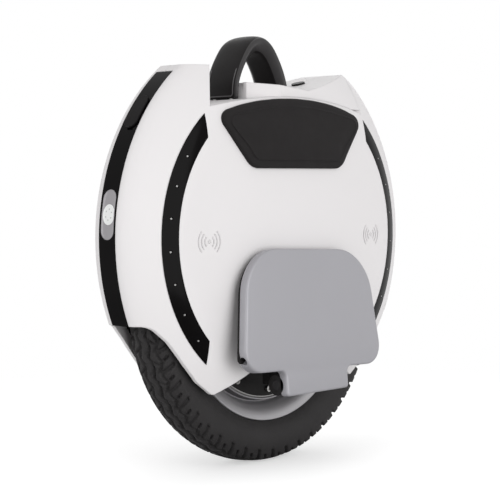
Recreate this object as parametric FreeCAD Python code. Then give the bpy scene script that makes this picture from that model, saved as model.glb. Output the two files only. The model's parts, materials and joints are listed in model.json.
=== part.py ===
import FreeCAD, Part
import math
import os

# Electric unicycle: one hub-motor wheel inside a round white shell with two folding pedals.
# Millimetres. +X is the headlight end, +Y the right-hand side, +Z up.
# The origin lies on the floor under the centre of the tyre.

Vector = FreeCAD.Vector

# One overrun serves every cut
OVER = 1.0

# Wheel
WHEEL_R = 178.0
TYRE_H = 45.0
TYRE_W = 54.0
TYRE_WALL = 4.5
TYRE_SIDE_SHARE = 0.5
TYRE_SHOULDER_SHARE = 0.82
TYRE_SHOULDER_W_SHARE = 0.9
BEAD_W = 38.0
RIM_R = WHEEL_R - TYRE_H
RIM_W = 40.0
TREAD_DEPTH = 3.5
TREAD_GROOVE_W = 4.0
TREAD_GROOVE_Y = 8.0
TREAD_BLOCKS = 48
SLOT_W = 4.5
SLOT_LENGTH = 15.0
SLOT_DEPTH = 2.8
SLOT_SLANT_DEG = 28.0
TUBE_WALL = 1.6
SEAT_GAP = 0.3
VALVE_R = 3.0
VALVE_ANGLE_DEG = 205.0
VALVE_ROOT_Y = 8.0
VALVE_END_Y = 24.0
VALVE_CAP_R = 3.8
VALVE_CAP_LENGTH = 6.0
VALVE_CAP_GRIP_SHARE = 0.6

# Hub motor
COVER_MARGIN = 24.6
COVER_R = RIM_R - COVER_MARGIN
COVER_T = 4.0
COVER_SET_IN = 7.0
COVER_DOME_H = 6.0
COVER_DOME_SHARES = (0.85, 0.7)
COVER_CHAMFER = 1.2
COVER_FIT = 0.5
COVER_RIB_SHARE = 0.57
COVER_RIB_R = COVER_R * COVER_RIB_SHARE
COVER_RIB_H = 1.6
RIM_FLANGE = 2.0
RIM_LIP = 1.2
RIM_HUB_T = 3.7
RIM_WEB_HALF = 3.0
RIM_DISH_ROUND_SHARE = 0.36
ROTOR_T = 15.0
ROTOR_BORE_R = COVER_R - ROTOR_T
MAGNET_T = 4.2
MAGNET_COUNT = 28
MAGNET_FILL_SHARE = 0.82
AIR_GAP = 1.2
STATOR_W = 14.0
STATOR_YOKE_SHARES = (0.56, 0.655)
STATOR_YOKE_IN_R = ROTOR_BORE_R * STATOR_YOKE_SHARES[0]
STATOR_YOKE_OUT_R = ROTOR_BORE_R * STATOR_YOKE_SHARES[1]
STATOR_HUB_T = 10.0
STATOR_TEETH = 24
TOOTH_SHARE = 0.0865
TOOTH_W = ROTOR_BORE_R * TOOTH_SHARE
COIL_SHARE = 0.0288
COIL_T = ROTOR_BORE_R * COIL_SHARE
COIL_MARGIN = 3.0
COVER_SCREWS = 12
COVER_SCREW_MARGIN = 9.0
COVER_SCREW_CIRCLE_R = COVER_R - COVER_SCREW_MARGIN
SCREW_R = 2.0
SCREW_HEAD_R = 3.4
SCREW_HEAD_H = 2.6
SCREW_LENGTH = 12.0

# Axle
AXLE_R = 8.5
AXLE_END_R = 7.0
AXLE_LENGTH = 106.0
BEARING_R = 20.0
BEARING_W = 12.0
BEARING_BOSS_WALL = 8.0
RUNNING_GAP = 0.05
WASHER_T = 2.0
WASHER_R = 14.0
NUT_FLATS = 22.0
NUT_T = 8.0

# Wheel arch
ARCH_GAP = 8.0
ARCH_WALL = 2.5
ARCH_FLANGE_T = 2.0
ARCH_SIDE_GAP = 2.5
ARCH_FLANGE_SHARE = 0.472
ARCH_END_DEG = 12.0
ARCH_POST_R = 6.0
ARCH_POST_MARGIN = 18.7
ARCH_POST_DEG = 65.3

# Shell
HULL_LIFT = 68.0
HULL_REACH = 43.0
HULL_Z = WHEEL_R + HULL_LIFT
HULL_R = WHEEL_R + HULL_REACH
CROWN_Z = HULL_Z + HULL_R
HULL_HALF_W = 59.0
HULL_WALL = 3.0
HULL_RADIUS_SHARES = (0.0, 0.25, 0.457, 0.64, 0.756, 0.846, 0.93, 0.986, 1.0)
HULL_WIDTH_SHARES = (1.0, 0.985, 0.949, 0.885, 0.83, 0.712, 0.542, 0.35, 0.203)
STRIP_HALF_W = 12.0
HORN_DROP = 43.0
HORN_TOP_Z = CROWN_Z - HORN_DROP
STRIP_TOP_DROP = 7.0
STRIP_TOP_Z = HORN_TOP_Z - STRIP_TOP_DROP
STRIP_BACK_SHARE = 0.543
STRIP_BACK_X = HULL_R * STRIP_BACK_SHARE
HORN_NOSE_SHARE = 0.38
HORN_NOSE_X = HULL_R * HORN_NOSE_SHARE
FRONT_NOSE_SHARE = 0.34
FRONT_NOSE_X = HULL_R * FRONT_NOSE_SHARE
REAR_PEAK_SHARE = 0.493
REAR_PEAK_X = -HULL_R * REAR_PEAK_SHARE
REAR_FALL_SHARE = 0.42
HORN_SWEEP_SHARE = 1.0
HORN_NOSE_R = 12.0
VALLEY_DROP = 73.0
VALLEY_MID_Z = CROWN_Z - VALLEY_DROP
VALLEY_BOW = 10.0
VALLEY_END_Z = VALLEY_MID_Z - VALLEY_BOW
VALLEY_END_SHARE = 0.47
VALLEY_END_X = HULL_R * VALLEY_END_SHARE
PANEL_X_SHARES = (0.8643, 0.7783, 0.683, 0.603, 0.507, 0.2489)
PANEL_DROP_SHARES = (0.3846, 0.4615, 0.573, 0.659, 0.7285, 0.6063)
PANEL_TIP_ROUND = 5.0
PANEL_ROUND = 22.0
TOP_COVER_HALF_W = 40.0
TOP_COVER_SHARE = 0.353
TOP_COVER_HALF_L = HULL_R * TOP_COVER_SHARE
TOP_COVER_FRONT_SHARE = 0.326
TOP_COVER_FRONT_X = HULL_R * TOP_COVER_FRONT_SHARE
SHELL_SCREW_R = 2.0
SHELL_SCREW_LENGTH = 16.0

# Handle and the top around it
HANDLE_X = 16.0
HANDLE_HALF_W = 23.0
HANDLE_HALF_SPAN = 43.0
HANDLE_H = 67.0
HANDLE_TOP_Z = VALLEY_MID_Z + HANDLE_H
HANDLE_BOTTOM_Z = VALLEY_END_Z
HANDLE_EDGE = 3.0
HANDLE_TAPER = 6.0
HANDLE_INNER_HALF_W = 14.0
HANDLE_SPAN_SHARES = (0.98, 1.0, 0.893, 0.73, 0.49, 0.256, 0.0)
HANDLE_RISE_SHARES = (0.0, 0.26, 0.468, 0.649, 0.844, 0.955, 1.0)
HANDLE_LEG_T = 11.0
HANDLE_CROWN_T = 18.0
HANDLE_OPENING_HALF = HANDLE_HALF_SPAN - HANDLE_LEG_T
HANDLE_OPENING_TOP_Z = HANDLE_TOP_Z - HANDLE_CROWN_T
HANDLE_SCREW_R = 2.0
HANDLE_SCREW_LENGTH = 20.0
HANDLE_SCREW_Y = 12.0
SADDLE_FRONT_H = 15.0
SADDLE_REAR_H = 8.0
SADDLE_FRONT_Z = VALLEY_MID_Z + SADDLE_FRONT_H
SADDLE_REAR_Z = VALLEY_MID_Z + SADDLE_REAR_H
SADDLE_FRONT_HALF_W = 28.0
SADDLE_SHOULDER_X = 8.0
RAMP_LENGTH = 33.0
RAMP_FRONT_H = 14.0
RAMP_REAR_X = -HORN_NOSE_X - OVER
RAMP_FRONT_X = RAMP_REAR_X + RAMP_LENGTH
RAMP_FRONT_Z = VALLEY_MID_Z + RAMP_FRONT_H
RAMP_SLOPE = (HORN_TOP_Z - RAMP_FRONT_Z) / (RAMP_FRONT_X - REAR_PEAK_X)
RAMP_REAR_Z = RAMP_FRONT_Z + RAMP_SLOPE * RAMP_LENGTH
BUTTON_R = 7.5
BUTTON_H = 7.0
BUTTON_PROUD = 2.0
BUTTON_TRAVEL = 1.5
BUTTON_GAP = 0.2
SWITCH_H = 3.0

# Lights and charge port
SIDE_LIGHT_SHIFT_SHARE = 0.0905
SIDE_LIGHT_X = HULL_R * SIDE_LIGHT_SHIFT_SHARE
SIDE_LIGHT_SHARE = 0.7557
SIDE_LIGHT_R = HULL_R * SIDE_LIGHT_SHARE
SIDE_LIGHT_W = 18.0
SIDE_LIGHT_END_SHARE = 0.578
SIDE_LIGHT_END_X = HULL_R * SIDE_LIGHT_END_SHARE
SIDE_LED_COUNT = 7
SIDE_LED_R = 1.6
SIDE_LED_TOP_DEG = 32.0
SIDE_LED_BOTTOM_DEG = -40.0
LENS_RISE_SHARE = 0.12
LENS_Z = HULL_Z + HULL_R * LENS_RISE_SHARE
LENS_LENGTH = 51.0
LENS_W = 19.0
LED_R = 9.0
LED_LENGTH = 12.0
PORT_RISE_SHARE = 0.5837
PORT_Z = HULL_Z + HULL_R * PORT_RISE_SHARE
CAP_LENGTH = 40.0
CAP_W = 18.0
CAP_T = 1.6
CAP_HINGE_R = 1.0
CAP_HINGE_W = 6.0
PORT_BORE_R = 8.0
PORT_PLUG_R = 7.4
SOCKET_R = 10.0
SOCKET_LENGTH = 14.0
SOCKET_BORE_R = 6.0
SOCKET_BORE_DEPTH = 10.0

# Side pads
PAD_T = 8.0
PAD_X_SHARES = (0.3213, 0.5068, 0.4706, 0.25)
PAD_RISE_SHARES = (0.3258, 0.552, 0.5928, 0.6425)
PAD_ROUND = 9.0
PAD_BEVEL = 2.5

# Pedals
PIVOT_OUT = 11.0
PIVOT_DROP = 86.0
PIVOT_Y = HULL_HALF_W + PIVOT_OUT
PIVOT_Z = WHEEL_R - PIVOT_DROP
PEDAL_LEAN_DEG = 5.0
PEDAL_LOW_HALF_L = 112.0
PEDAL_HIGH_HALF_L = 96.0
PEDAL_TOP = 140.0
PEDAL_BOTTOM = 13.0
PEDAL_PITCH_RISE = 4.0
HEEL_H = 14.0
PEDAL_T = 10.0
PEDAL_OFFSET = 6.0
PEDAL_CORNER = 46.0
PEDAL_LOW_CORNER = 26.0
PEDAL_EDGE = 2.0
PEDAL_WALL = 9.0
NECK_HALF_L = 50.0
NECK_DROP = 12.0
NECK_ROUND = 4.0
KNUCKLE_R = 11.0
HANGER_KNUCKLE_HALF = 28.0
HINGE_GAP = 0.4
PIN_R = 5.0
MAT_T = 3.5
MAT_MARGIN = 3.0
PEDAL_MAGNET_R = 7.0
PEDAL_MAGNET_T = 3.0
PEDAL_MAGNET_DROP = 24.0
EDGE_HOLE_R = 4.5
EDGE_HOLE_DEPTH = 12.0
EDGE_HOLE_DEG = 33.0
HEEL_GAP = 0.3

# Pedal hangers
HANGER_T = 9.0
HANGER_RISE = 144.0
HANGER_TOP_Z = WHEEL_R + HANGER_RISE
HANGER_TOP_HALF = 40.0
HANGER_ROUND = 12.0
FOOT_DROP = 4.0
HANGER_SCREW_X = 26.0
HANGER_SCREW_DROP = 14.0

# Electrics
BATTERY_X = 48.0
BATTERY_L_SHARE = 0.3258
BATTERY_L = HULL_R * BATTERY_L_SHARE
BATTERY_DROP_SHARE = 0.172
BATTERY_Z = HULL_Z - HULL_R * BATTERY_DROP_SHARE
BATTERY_H_SHARE = 0.4615
BATTERY_H = HULL_R * BATTERY_H_SHARE
BATTERY_T = 17.0
BATTERY_ROUND = 3.0
BOARD_HALF_L = 52.0
BOARD_HALF_W = 26.0
BOARD_T = 1.8
STANDOFF_R = 3.0
STANDOFF_H = 5.0
SINK_L = 44.0
SINK_W = 30.0
SINK_H = 8.0
SINK_FINS = 7
SINK_BASE_SHARE = 0.35
SPEAKER_SHARE = 0.5792
SPEAKER_X = HULL_R * SPEAKER_SHARE
SPEAKER_RISE = 8.0
SPEAKER_Z = HULL_Z + SPEAKER_RISE
SPEAKER_R = 15.0
SPEAKER_LENGTH = 14.0

# Places worked out from the sizes above
AXLE_Z = WHEEL_R
VALVE_CIRCLE_R = (COVER_R + COVER_FIT + RIM_R) / 2
COVER_OUT_Y = RIM_W / 2 - COVER_SET_IN
COVER_IN_Y = COVER_OUT_Y - COVER_T
DOME_OUT_Y = COVER_OUT_Y + COVER_DOME_H
MAGNET_IN_R = ROTOR_BORE_R - MAGNET_T
STATOR_R = MAGNET_IN_R - AIR_GAP
ARCH_IN_R = WHEEL_R + ARCH_GAP
ARCH_OUT_R = ARCH_IN_R + ARCH_WALL
FLANGE_IN_Y = TYRE_W / 2 + ARCH_SIDE_GAP
FLANGE_OUT_Y = FLANGE_IN_Y + ARCH_FLANGE_T
FLANGE_BOTTOM_Z = AXLE_Z + WHEEL_R * ARCH_FLANGE_SHARE
HANGER_OUT_Y = FLANGE_OUT_Y + HANGER_T
ARCH_POST_X = (ARCH_IN_R - ARCH_POST_MARGIN) * math.cos(math.radians(ARCH_POST_DEG))
ARCH_POST_Z = AXLE_Z + (ARCH_IN_R - ARCH_POST_MARGIN) * math.sin(math.radians(ARCH_POST_DEG))
HANDLE_LEG_X = (HANDLE_HALF_SPAN + HANDLE_OPENING_HALF) / 2
BUTTON_CENTRE = Vector((RAMP_FRONT_X + RAMP_REAR_X) / 2, 0, (RAMP_FRONT_Z + RAMP_REAR_Z) / 2)
RAMP_ANGLE_DEG = math.degrees(math.atan2(RAMP_REAR_Z - RAMP_FRONT_Z, RAMP_FRONT_X - RAMP_REAR_X))
BUTTON_BORE_DEPTH = BUTTON_H - BUTTON_PROUD + BUTTON_TRAVEL + BUTTON_GAP + SWITCH_H
PEDAL_IN_Y = PIVOT_Y + PEDAL_OFFSET
PEDAL_OUT_Y = PEDAL_IN_Y + PEDAL_T
BOARD_Z = AXLE_Z + ARCH_OUT_R + STANDOFF_H
FAR = 2 * HULL_R


def disc(axis, centre, radius, length):
    """Cylinder that starts at centre and runs along axis."""
    return Part.makeCylinder(radius, length, centre, axis)


ALONG_X = Vector(1, 0, 0)
ALONG_Y = Vector(0, 1, 0)
ALONG_Z = Vector(0, 0, 1)
AXLE_CENTRE = Vector(0, 0, AXLE_Z)
HULL_CENTRE = Vector(0, 0, HULL_Z)


def block(x0, x1, y0, y1, z0, z1):
    """Box between two corners."""
    return Part.makeBox(x1 - x0, y1 - y0, z1 - z0, Vector(x0, y0, z0))


def corner_arc(before, corner, after, radius):
    """Start, middle and end of the arc that rounds a corner."""
    to_before = (before - corner).normalize()
    to_after = (after - corner).normalize()
    half = to_before.getAngle(to_after) / 2
    reach = radius / math.tan(half)
    bisector = (to_before + to_after).normalize()
    centre = corner + bisector * (radius / math.sin(half))
    middle = centre - bisector * radius
    return corner + to_before * reach, middle, corner + to_after * reach


def outline(points, radii):
    """Closed wire through the points, each corner rounded by its radius."""
    edges = []
    last = None
    first = None
    count = len(points)
    for index in range(count):
        corner = points[index]
        radius = radii[index]
        start = middle = end = corner
        if radius > 0:
            start, middle, end = corner_arc(points[index - 1], corner, points[(index + 1) % count], radius)
        if last is not None:
            edges.append(Part.makeLine(last, start))
        else:
            first = start
        if radius > 0:
            edges.append(Part.Arc(start, middle, end).toShape())
        last = end
    edges.append(Part.makeLine(last, first))
    return Part.Wire(edges)


def side_prism(points, y0, y1, radius=0):
    """Prism along Y on an outline of (x, z) points."""
    radii = radius if isinstance(radius, (list, tuple)) else [radius] * len(points)
    wire = outline([Vector(x, y0, z) for x, z in points], radii)
    return Part.Face(wire).extrude(Vector(0, y1 - y0, 0))


def plan_prism(points, z0, z1, radius=0):
    """Prism along Z on an outline of (x, y) points."""
    radii = radius if isinstance(radius, (list, tuple)) else [radius] * len(points)
    wire = outline([Vector(x, y, z0) for x, y in points], radii)
    return Part.Face(wire).extrude(Vector(0, 0, z1 - z0))


def turned(points, sweep=360.0):
    """Solid turned about the axle from (radius, y) points."""
    wire = Part.makePolygon([Vector(r, y, AXLE_Z) for r, y in points + points[:1]])
    return Part.Face(wire).revolve(AXLE_CENTRE, ALONG_Y, sweep)


def ring(inner, outer, y0, y1):
    """Plain ring about the axle."""
    return turned([(inner, y0), (outer, y0), (outer, y1), (inner, y1)])


def spun(shape, angle):
    """Copy of a shape turned about the axle."""
    copy = shape.copy()
    copy.rotate(AXLE_CENTRE, ALONG_Y, angle)
    return copy


def repeated(shape, count, start=0.0):
    """Copies of a shape spread evenly about the axle."""
    return [spun(shape, start + 360.0 * index / count) for index in range(count)]


def mirrored(shape):
    """Copy of a right-hand shape for the left-hand side."""
    return shape.mirror(Vector(0, 0, 0), ALONG_Y)


def joined(shapes):
    """One solid from shapes that overlap or touch."""
    return shapes[0].multiFuse(shapes[1:]).removeSplitter()


def save(name, shape):
    """Write one node and say what it holds."""
    shape.exportStep("parts/" + name + ".step")
    print(name, len(shape.Solids), round(shape.Volume), shape.isValid())


# Tyre, tube and rim


def tyre_points(inset):
    """Points (radius, y) of one side of the tyre's section, from the bead to the crown."""
    crown_r = WHEEL_R - inset
    half_width = TYRE_W / 2 - inset
    rise = crown_r - RIM_R
    side = (RIM_R + rise * TYRE_SIDE_SHARE, half_width)
    shoulder = (RIM_R + rise * TYRE_SHOULDER_SHARE, half_width * TYRE_SHOULDER_W_SHARE)
    return [(RIM_R, BEAD_W / 2 - inset), side, shoulder, (crown_r, 0)]


def tyre_curve(inset):
    """Round side of the tyre's section, from one bead over the crown to the other."""
    half = tyre_points(inset)
    mirror = [(r, -y) for r, y in half[-2::-1]]
    curve = Part.BSplineCurve()
    curve.interpolate([Vector(r, y, AXLE_Z) for r, y in half + mirror])
    return curve


def tyre_section(inset):
    """Closed outline of the tyre's section, drawn in by inset all round but at the rim."""
    edge = tyre_curve(inset).toShape()
    base = Part.makeLine(edge.valueAt(edge.LastParameter), edge.valueAt(edge.FirstParameter))
    return Part.Wire([edge, base])


def about_axle(wire):
    """Solid turned about the axle from a closed wire."""
    return Part.Face(wire).revolve(AXLE_CENTRE, ALONG_Y, 360.0)


def tread_slots():
    """Slanted slots that part the shoulder blocks, laid along the shoulder's slope on both sides."""
    radius, y = tyre_points(0)[2]
    curve = tyre_curve(0)
    slope = curve.tangent(curve.parameter(Vector(radius, y, AXLE_Z)))[0]
    tilt = math.degrees(math.atan2(slope.x, slope.y))
    half = SLOT_LENGTH / 2
    slot = block(-SLOT_W / 2, SLOT_W / 2, -half, half, -SLOT_DEPTH, SLOT_DEPTH)
    slot.rotate(Vector(0, 0, 0), ALONG_Z, SLOT_SLANT_DEG)
    slot.rotate(Vector(0, 0, 0), ALONG_X, tilt)
    slot.translate(Vector(0, y, AXLE_Z + radius))
    half_pitch = 180.0 / TREAD_BLOCKS
    return repeated(slot, TREAD_BLOCKS) + repeated(mirrored(slot), TREAD_BLOCKS, half_pitch)


def make_tyre():
    """Tyre carcass with two ring grooves and slotted shoulders."""
    tyre = about_axle(tyre_section(0)).cut(about_axle(tyre_section(TYRE_WALL)))
    half_groove = TREAD_GROOVE_W / 2
    grooves = []
    for y in (TREAD_GROOVE_Y, -TREAD_GROOVE_Y):
        grooves.append(ring(WHEEL_R - TREAD_DEPTH, WHEEL_R + OVER, y - half_groove, y + half_groove))
    return tyre.cut(grooves + tread_slots())


def make_tube():
    """Inner tube that lines the tyre."""
    outside = about_axle(tyre_section(TYRE_WALL + SEAT_GAP))
    inside = tyre_section(TYRE_WALL + SEAT_GAP + TUBE_WALL)
    inside.translate(Vector(TUBE_WALL, 0, 0))
    return outside.cut(about_axle(inside))


def cover_screw_hole():
    """Room for the shaft of one motor cover screw, on the right-hand side."""
    start = Vector(COVER_SCREW_CIRCLE_R, COVER_OUT_Y - SCREW_LENGTH, AXLE_Z)
    return disc(ALONG_Y, start, SCREW_R, SCREW_LENGTH)


def dish_section(step):
    """Outline of the deep dish between the rim's flange and the wall round the motor cover."""
    half = RIM_W / 2
    flange_r = RIM_R - RIM_FLANGE
    hub_r = step + RIM_HUB_T
    round_r = hub_r + (flange_r - hub_r) * RIM_DISH_ROUND_SHARE
    round_y = half - (half - RIM_WEB_HALF) * RIM_DISH_ROUND_SHARE
    start = Vector(flange_r, half, AXLE_Z)
    middle = Vector(round_r, round_y, AXLE_Z)
    end = Vector(hub_r, RIM_WEB_HALF, AXLE_Z)
    corners = [(hub_r, RIM_WEB_HALF), (step + RIM_LIP, COVER_OUT_Y), (step - OVER, COVER_OUT_Y)]
    corners += [(step - OVER, half + OVER), (flange_r, half + OVER), (flange_r, half)]
    lines = Part.makePolygon([Vector(r, y, AXLE_Z) for r, y in corners])
    return Part.Wire([Part.Arc(start, middle, end).toShape()] + lines.Edges)


def make_rim():
    """Rim and rotor in one casting, with a deep dish round each side."""
    half = RIM_W / 2
    step = COVER_R + COVER_FIT
    inside = [(ROTOR_BORE_R, -COVER_IN_Y), (step, -COVER_IN_Y), (step, -half)]
    outside = [(RIM_R, -half), (RIM_R, half), (step, half), (step, COVER_IN_Y), (ROTOR_BORE_R, COVER_IN_Y)]
    rim = turned(inside + outside)
    dish = about_axle(dish_section(step))
    threads = repeated(cover_screw_hole(), COVER_SCREWS)
    threads += [mirrored(thread) for thread in threads]
    return rim.cut([dish, mirrored(dish), make_valve()] + threads)


def make_valve():
    """Bent valve stem, from the rim bed in to the middle of the dish and out of the right-hand side."""
    inward = disc(ALONG_X, Vector(VALVE_CIRCLE_R, VALVE_ROOT_Y, AXLE_Z), VALVE_R, RIM_R - VALVE_CIRCLE_R)
    bend = Part.makeSphere(VALVE_R, Vector(VALVE_CIRCLE_R, VALVE_ROOT_Y, AXLE_Z))
    outward = disc(ALONG_Y, Vector(VALVE_CIRCLE_R, VALVE_ROOT_Y, AXLE_Z), VALVE_R, VALVE_END_Y - VALVE_ROOT_Y)
    return spun(joined([inward, bend, outward]), VALVE_ANGLE_DEG)


def make_valve_cap():
    """Cap on the end of the valve stem."""
    start = VALVE_END_Y - VALVE_CAP_LENGTH * VALVE_CAP_GRIP_SHARE
    cap = disc(ALONG_Y, Vector(VALVE_CIRCLE_R, start, AXLE_Z), VALVE_CAP_R, VALVE_CAP_LENGTH)
    return spun(cap, VALVE_ANGLE_DEG).cut(make_valve())


# Hub motor

def make_magnets():
    """Magnets stuck round the inside of the rotor."""
    half = STATOR_W / 2
    points = [(MAGNET_IN_R, -half), (ROTOR_BORE_R, -half), (ROTOR_BORE_R, half), (MAGNET_IN_R, half)]
    magnet = turned(points, MAGNET_FILL_SHARE * 360.0 / MAGNET_COUNT)
    return Part.makeCompound(repeated(magnet, MAGNET_COUNT))


def make_motor_cover():
    """Right-hand cover: a flange for the screws, a low dome with a raised ring, and a bearing boss."""
    boss_r = BEARING_R + BEARING_BOSS_WALL
    bearing_in_y = DOME_OUT_Y - BEARING_W
    dome_in_y = DOME_OUT_Y - COVER_T
    foot_r = COVER_R * COVER_DOME_SHARES[0]
    top_r = COVER_R * COVER_DOME_SHARES[1]
    points = [(BEARING_R, bearing_in_y), (boss_r, bearing_in_y), (boss_r, dome_in_y), (top_r, dome_in_y)]
    points += [(foot_r, COVER_IN_Y), (COVER_R, COVER_IN_Y), (COVER_R, COVER_OUT_Y - COVER_CHAMFER)]
    points += [(COVER_R - COVER_CHAMFER, COVER_OUT_Y), (foot_r, COVER_OUT_Y), (top_r, DOME_OUT_Y)]
    points += [(COVER_RIB_R, DOME_OUT_Y), (COVER_RIB_R - COVER_RIB_H, DOME_OUT_Y + COVER_RIB_H)]
    points += [(boss_r, DOME_OUT_Y + COVER_RIB_H), (boss_r, DOME_OUT_Y), (BEARING_R, DOME_OUT_Y)]
    return turned(points).cut(repeated(cover_screw_hole(), COVER_SCREWS))


def make_cover_screws():
    """Button-head screws of both motor covers, each with a hexagon socket."""
    head = disc(ALONG_Y, Vector(COVER_SCREW_CIRCLE_R, COVER_OUT_Y, AXLE_Z), SCREW_HEAD_R, SCREW_HEAD_H)
    socket_floor = Vector(COVER_SCREW_CIRCLE_R, COVER_OUT_Y + SCREW_HEAD_H / 2, AXLE_Z)
    socket = hexagon(SCREW_R, socket_floor, SCREW_HEAD_H)
    screw = joined([head, cover_screw_hole()]).cut(socket)
    right = repeated(screw, COVER_SCREWS)
    return Part.makeCompound(right + [mirrored(one) for one in right])


def hexagon(radius, centre, length):
    """Hexagonal bar along Y from centre, with radius to its corners."""
    corners = []
    for index in range(6):
        angle = math.radians(60.0 * index)
        corners.append(centre + Vector(radius * math.cos(angle), 0, radius * math.sin(angle)))
    return Part.Face(Part.makePolygon(corners + corners[:1])).extrude(ALONG_Y * length)


def make_bearing():
    """Right-hand wheel bearing, pressed into its cover and running on the axle."""
    return ring(AXLE_R + RUNNING_GAP, BEARING_R, DOME_OUT_Y - BEARING_W, DOME_OUT_Y)


def make_stator():
    """Laminated core on the axle: hub, yoke and radial teeth."""
    half = STATOR_W / 2
    yoke = ring(STATOR_YOKE_IN_R, STATOR_YOKE_OUT_R, -half, half)
    hub = ring(AXLE_R, STATOR_YOKE_IN_R, -STATOR_HUB_T / 2, STATOR_HUB_T / 2)
    root = (STATOR_YOKE_IN_R + STATOR_YOKE_OUT_R) / 2
    tooth = block(root, STATOR_R - OVER, -half, half, AXLE_Z - TOOTH_W / 2, AXLE_Z + TOOTH_W / 2)
    return joined([yoke, hub] + repeated(tooth, STATOR_TEETH))


def make_windings():
    """One coil round each stator tooth."""
    half_y = STATOR_W / 2
    half_z = TOOTH_W / 2
    start = STATOR_YOKE_OUT_R + COIL_MARGIN
    end = STATOR_R - COIL_MARGIN
    coil = block(start, end, -half_y - COIL_T, half_y + COIL_T,
                 AXLE_Z - half_z - COIL_T, AXLE_Z + half_z + COIL_T)
    tooth = block(start - OVER, end + OVER, -half_y, half_y, AXLE_Z - half_z, AXLE_Z + half_z)
    return Part.makeCompound(repeated(coil.cut(tooth), STATOR_TEETH))


# Axle

def make_axle():
    """Axle with thinner threaded ends beyond the hangers."""
    half = AXLE_LENGTH / 2
    points = [(0, -half), (AXLE_END_R, -half), (AXLE_END_R, -HANGER_OUT_Y), (AXLE_R, -HANGER_OUT_Y)]
    points += [(r, -y) for r, y in points[::-1]]
    return turned(points)


def make_axle_washers():
    """Washer outside each hanger."""
    washer = ring(AXLE_END_R, WASHER_R, HANGER_OUT_Y, HANGER_OUT_Y + WASHER_T)
    return Part.makeCompound([washer, mirrored(washer)])


def make_axle_nuts():
    """Nut outside each washer."""
    start = HANGER_OUT_Y + WASHER_T
    nut = hexagon(NUT_FLATS / math.sqrt(3), Vector(0, start, AXLE_Z), NUT_T)
    nut = nut.cut(disc(ALONG_Y, Vector(0, start - OVER, AXLE_Z), AXLE_END_R, NUT_T + 2 * OVER))
    return Part.makeCompound([nut, mirrored(nut)])


# Shell

def hull(grow=0.0):
    """Round body turned about a line across the shell, grown or drawn in by a wall."""
    radius = HULL_R + grow
    points = []
    for radius_share, width_share in zip(HULL_RADIUS_SHARES, HULL_WIDTH_SHARES):
        points.append(Vector(radius * radius_share, HULL_HALF_W * width_share + grow, HULL_Z))
    curve = Part.BSplineCurve()
    curve.interpolate(Points=points, InitialTangent=ALONG_X, FinalTangent=-ALONG_Y)
    edge_foot = Vector(radius, 0, HULL_Z)
    lines = [Part.makeLine(points[-1], edge_foot), Part.makeLine(edge_foot, HULL_CENTRE)]
    lines.append(Part.makeLine(HULL_CENTRE, points[0]))
    half = Part.Face(Part.Wire([curve.toShape()] + lines)).revolve(HULL_CENTRE, ALONG_Y, 360.0)
    return joined([half, mirrored(half)])


def above_floor(drop):
    """Everything above the arched floor of the valley, lowered by drop."""
    end_z = VALLEY_END_Z - drop
    left = Vector(-VALLEY_END_X, -FAR, end_z)
    right = Vector(VALLEY_END_X, -FAR, end_z)
    floor = Part.Arc(left, Vector(0, -FAR, VALLEY_MID_Z - drop), right).toShape()
    run = floor.tangentAt(floor.LastParameter)
    far_right = right + run * (HULL_R / run.x)
    far_left = Vector(-far_right.x, far_right.y, far_right.z)
    high_right = Vector(far_right.x, -FAR, FAR * 2)
    high_left = Vector(far_left.x, -FAR, FAR * 2)
    edges = [floor, Part.makeLine(right, far_right), Part.makeLine(far_right, high_right)]
    edges += [Part.makeLine(high_right, high_left), Part.makeLine(high_left, far_left)]
    edges.append(Part.makeLine(far_left, left))
    return Part.Face(Part.Wire(edges)).extrude(ALONG_Y * (2 * FAR))


def valley(drop, widen):
    """Space between the two horns, which narrow to a nose towards the handle."""
    front = FRONT_NOSE_X + widen
    rear = -HORN_NOSE_X - widen
    sweep = HULL_HALF_W * 2 * HORN_SWEEP_SHARE
    side = HULL_HALF_W * 2
    points = [(front, 0), (front + sweep, side), (rear - sweep, side)]
    points += [(rear, 0), (rear - sweep, -side), (front + sweep, -side)]
    radii = [HORN_NOSE_R, 0, 0, HORN_NOSE_R, 0, 0]
    return plan_prism(points, 0, FAR * 2, radii).common(above_floor(drop))


def below_panels():
    """Everything under the lower edge of the side panels and of the two end bars."""
    half = [(FAR, HULL_Z - HULL_R * PANEL_DROP_SHARES[0])]
    for x_share, drop_share in zip(PANEL_X_SHARES, PANEL_DROP_SHARES):
        half.append((HULL_R * x_share, HULL_Z - HULL_R * drop_share))
    points = half + [(-x, z) for x, z in half[::-1]] + [(-FAR, -FAR), (FAR, -FAR)]
    radii = [0, PANEL_ROUND, PANEL_ROUND, PANEL_ROUND, PANEL_ROUND, PANEL_TIP_ROUND, PANEL_ROUND]
    return side_prism(points, -FAR, FAR, radii + radii[::-1] + [0, 0])


def above_horns(drop):
    """Everything above the flat top of the horns."""
    return block(-FAR, FAR, -FAR, FAR, HORN_TOP_Z - drop, FAR * 2)


def above_rear(drop):
    """Everything above the ramp and the rear horn, which rises to a peak and falls again behind it."""
    far_x = REAR_PEAK_X - FAR
    far_z = HORN_TOP_Z - FAR * REAR_FALL_SHARE - drop
    points = [(RAMP_FRONT_X, RAMP_FRONT_Z - drop), (REAR_PEAK_X, HORN_TOP_Z - drop), (far_x, far_z)]
    points += [(far_x, FAR * 2), (RAMP_FRONT_X, FAR * 2)]
    return side_prism(points, -FAR, FAR)


def make_skin():
    """Whole white and black skin of the shell in one piece, before it is parted."""
    outside = hull().cut([above_horns(0), valley(0, 0), above_rear(0)])
    inside = hull(-HULL_WALL).cut([above_horns(HULL_WALL), above_rear(HULL_WALL)])
    inside = inside.cut(valley(HULL_WALL, HULL_WALL * math.sqrt(2)))
    return outside.cut([inside, below_panels()])


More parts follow.
